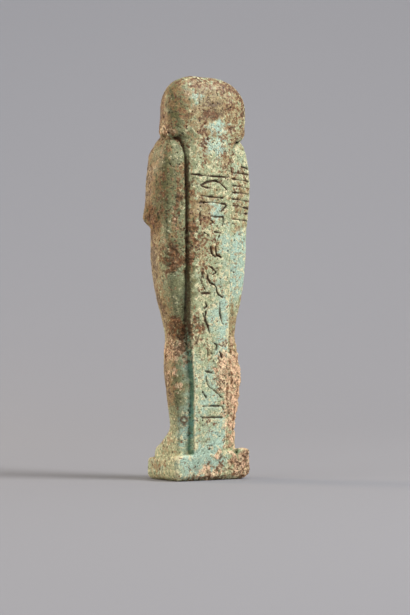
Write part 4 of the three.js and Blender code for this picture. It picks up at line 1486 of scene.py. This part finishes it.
def finish_figure(figure, grid, material):
    """Stores on the finished skin what its material reads, and drops the carving groups."""
    mesh = figure.data
    at = mesh_points(mesh)
    for name, patches in PATCHES.items():
        store(mesh, name, patch_weight(at, patches))
    # Where the pillar's side walls and the broken corner's notch are darkened as painted shade.
    walls = np.maximum(wall_weight(at, 1), 0.7 * wall_weight(at, -1))
    store(mesh, "wall", np.maximum(walls, patch_weight(at, NOTCH_SHADOW)))
    store(mesh, "ring", ring_weight(at))
    near, wide = (hollowness(grid, at, reach) for reach in HOLLOW_REACH)
    # The hollows take soil and painted shade, less below the knee.
    hollow_darkening = np.interp(at[:, 2] / MM, *HOLLOW_DARKENING)
    store(mesh, "hollow", np.clip(np.maximum(near, wide * 1.1), 0, 1) * hollow_darkening)
    store(mesh, "edge", np.clip(-0.6 * near - 0.6 * wide, 0, 1))
    mesh.materials.clear()
    mesh.materials.append(material)
    mesh.shade_smooth()
    for tree in list(bpy.data.node_groups):
        bpy.data.node_groups.remove(tree)


class USHABTI_OT_stage(bpy.types.Operator):
    """Builds the floor, the lights and the camera"""

    bl_idname = "ushabti.stage"
    bl_label = "Studio"

    def execute(self, context):
        floor = studio_bowl(context.scene.ushabti_colours)
        surroundings()
        lights()
        camera()
        context.scene.view_settings.view_transform = "Standard"
        context.scene.view_settings.look = "None"
        return {"FINISHED"}


class USHABTI_PT_panel(bpy.types.Panel):
    """Settings and steps of the ushabti"""

    bl_label = "Ushabti"
    bl_idname = "USHABTI_PT_panel"
    bl_space_type = "VIEW_3D"
    bl_region_type = "UI"
    bl_category = "Ushabti"

    def draw(self, context):
        for group in (context.scene.ushabti_sizes, context.scene.ushabti_colours):
            column = self.layout.column()
            for key in group.bl_rna.properties.keys():
                if key not in ("rna_type", "name"):
                    column.prop(group, key)
        for operator in OPERATORS:
            self.layout.operator(operator.bl_idname)


OPERATORS = (USHABTI_OT_figure, USHABTI_OT_stage)
CLASSES = (UshabtiSizes, UshabtiColours, *OPERATORS, USHABTI_PT_panel)


def register():
    for item in CLASSES:
        bpy.utils.register_class(item)
    bpy.types.Scene.ushabti_sizes = bpy.props.PointerProperty(type=UshabtiSizes)
    bpy.types.Scene.ushabti_colours = bpy.props.PointerProperty(type=UshabtiColours)


def unregister():
    del bpy.types.Scene.ushabti_colours
    del bpy.types.Scene.ushabti_sizes
    for item in reversed(CLASSES):
        bpy.utils.unregister_class(item)


def main():
    register()
    bpy.ops.ushabti.figure()
    bpy.ops.ushabti.stage()


if __name__ == "__main__":
    main()
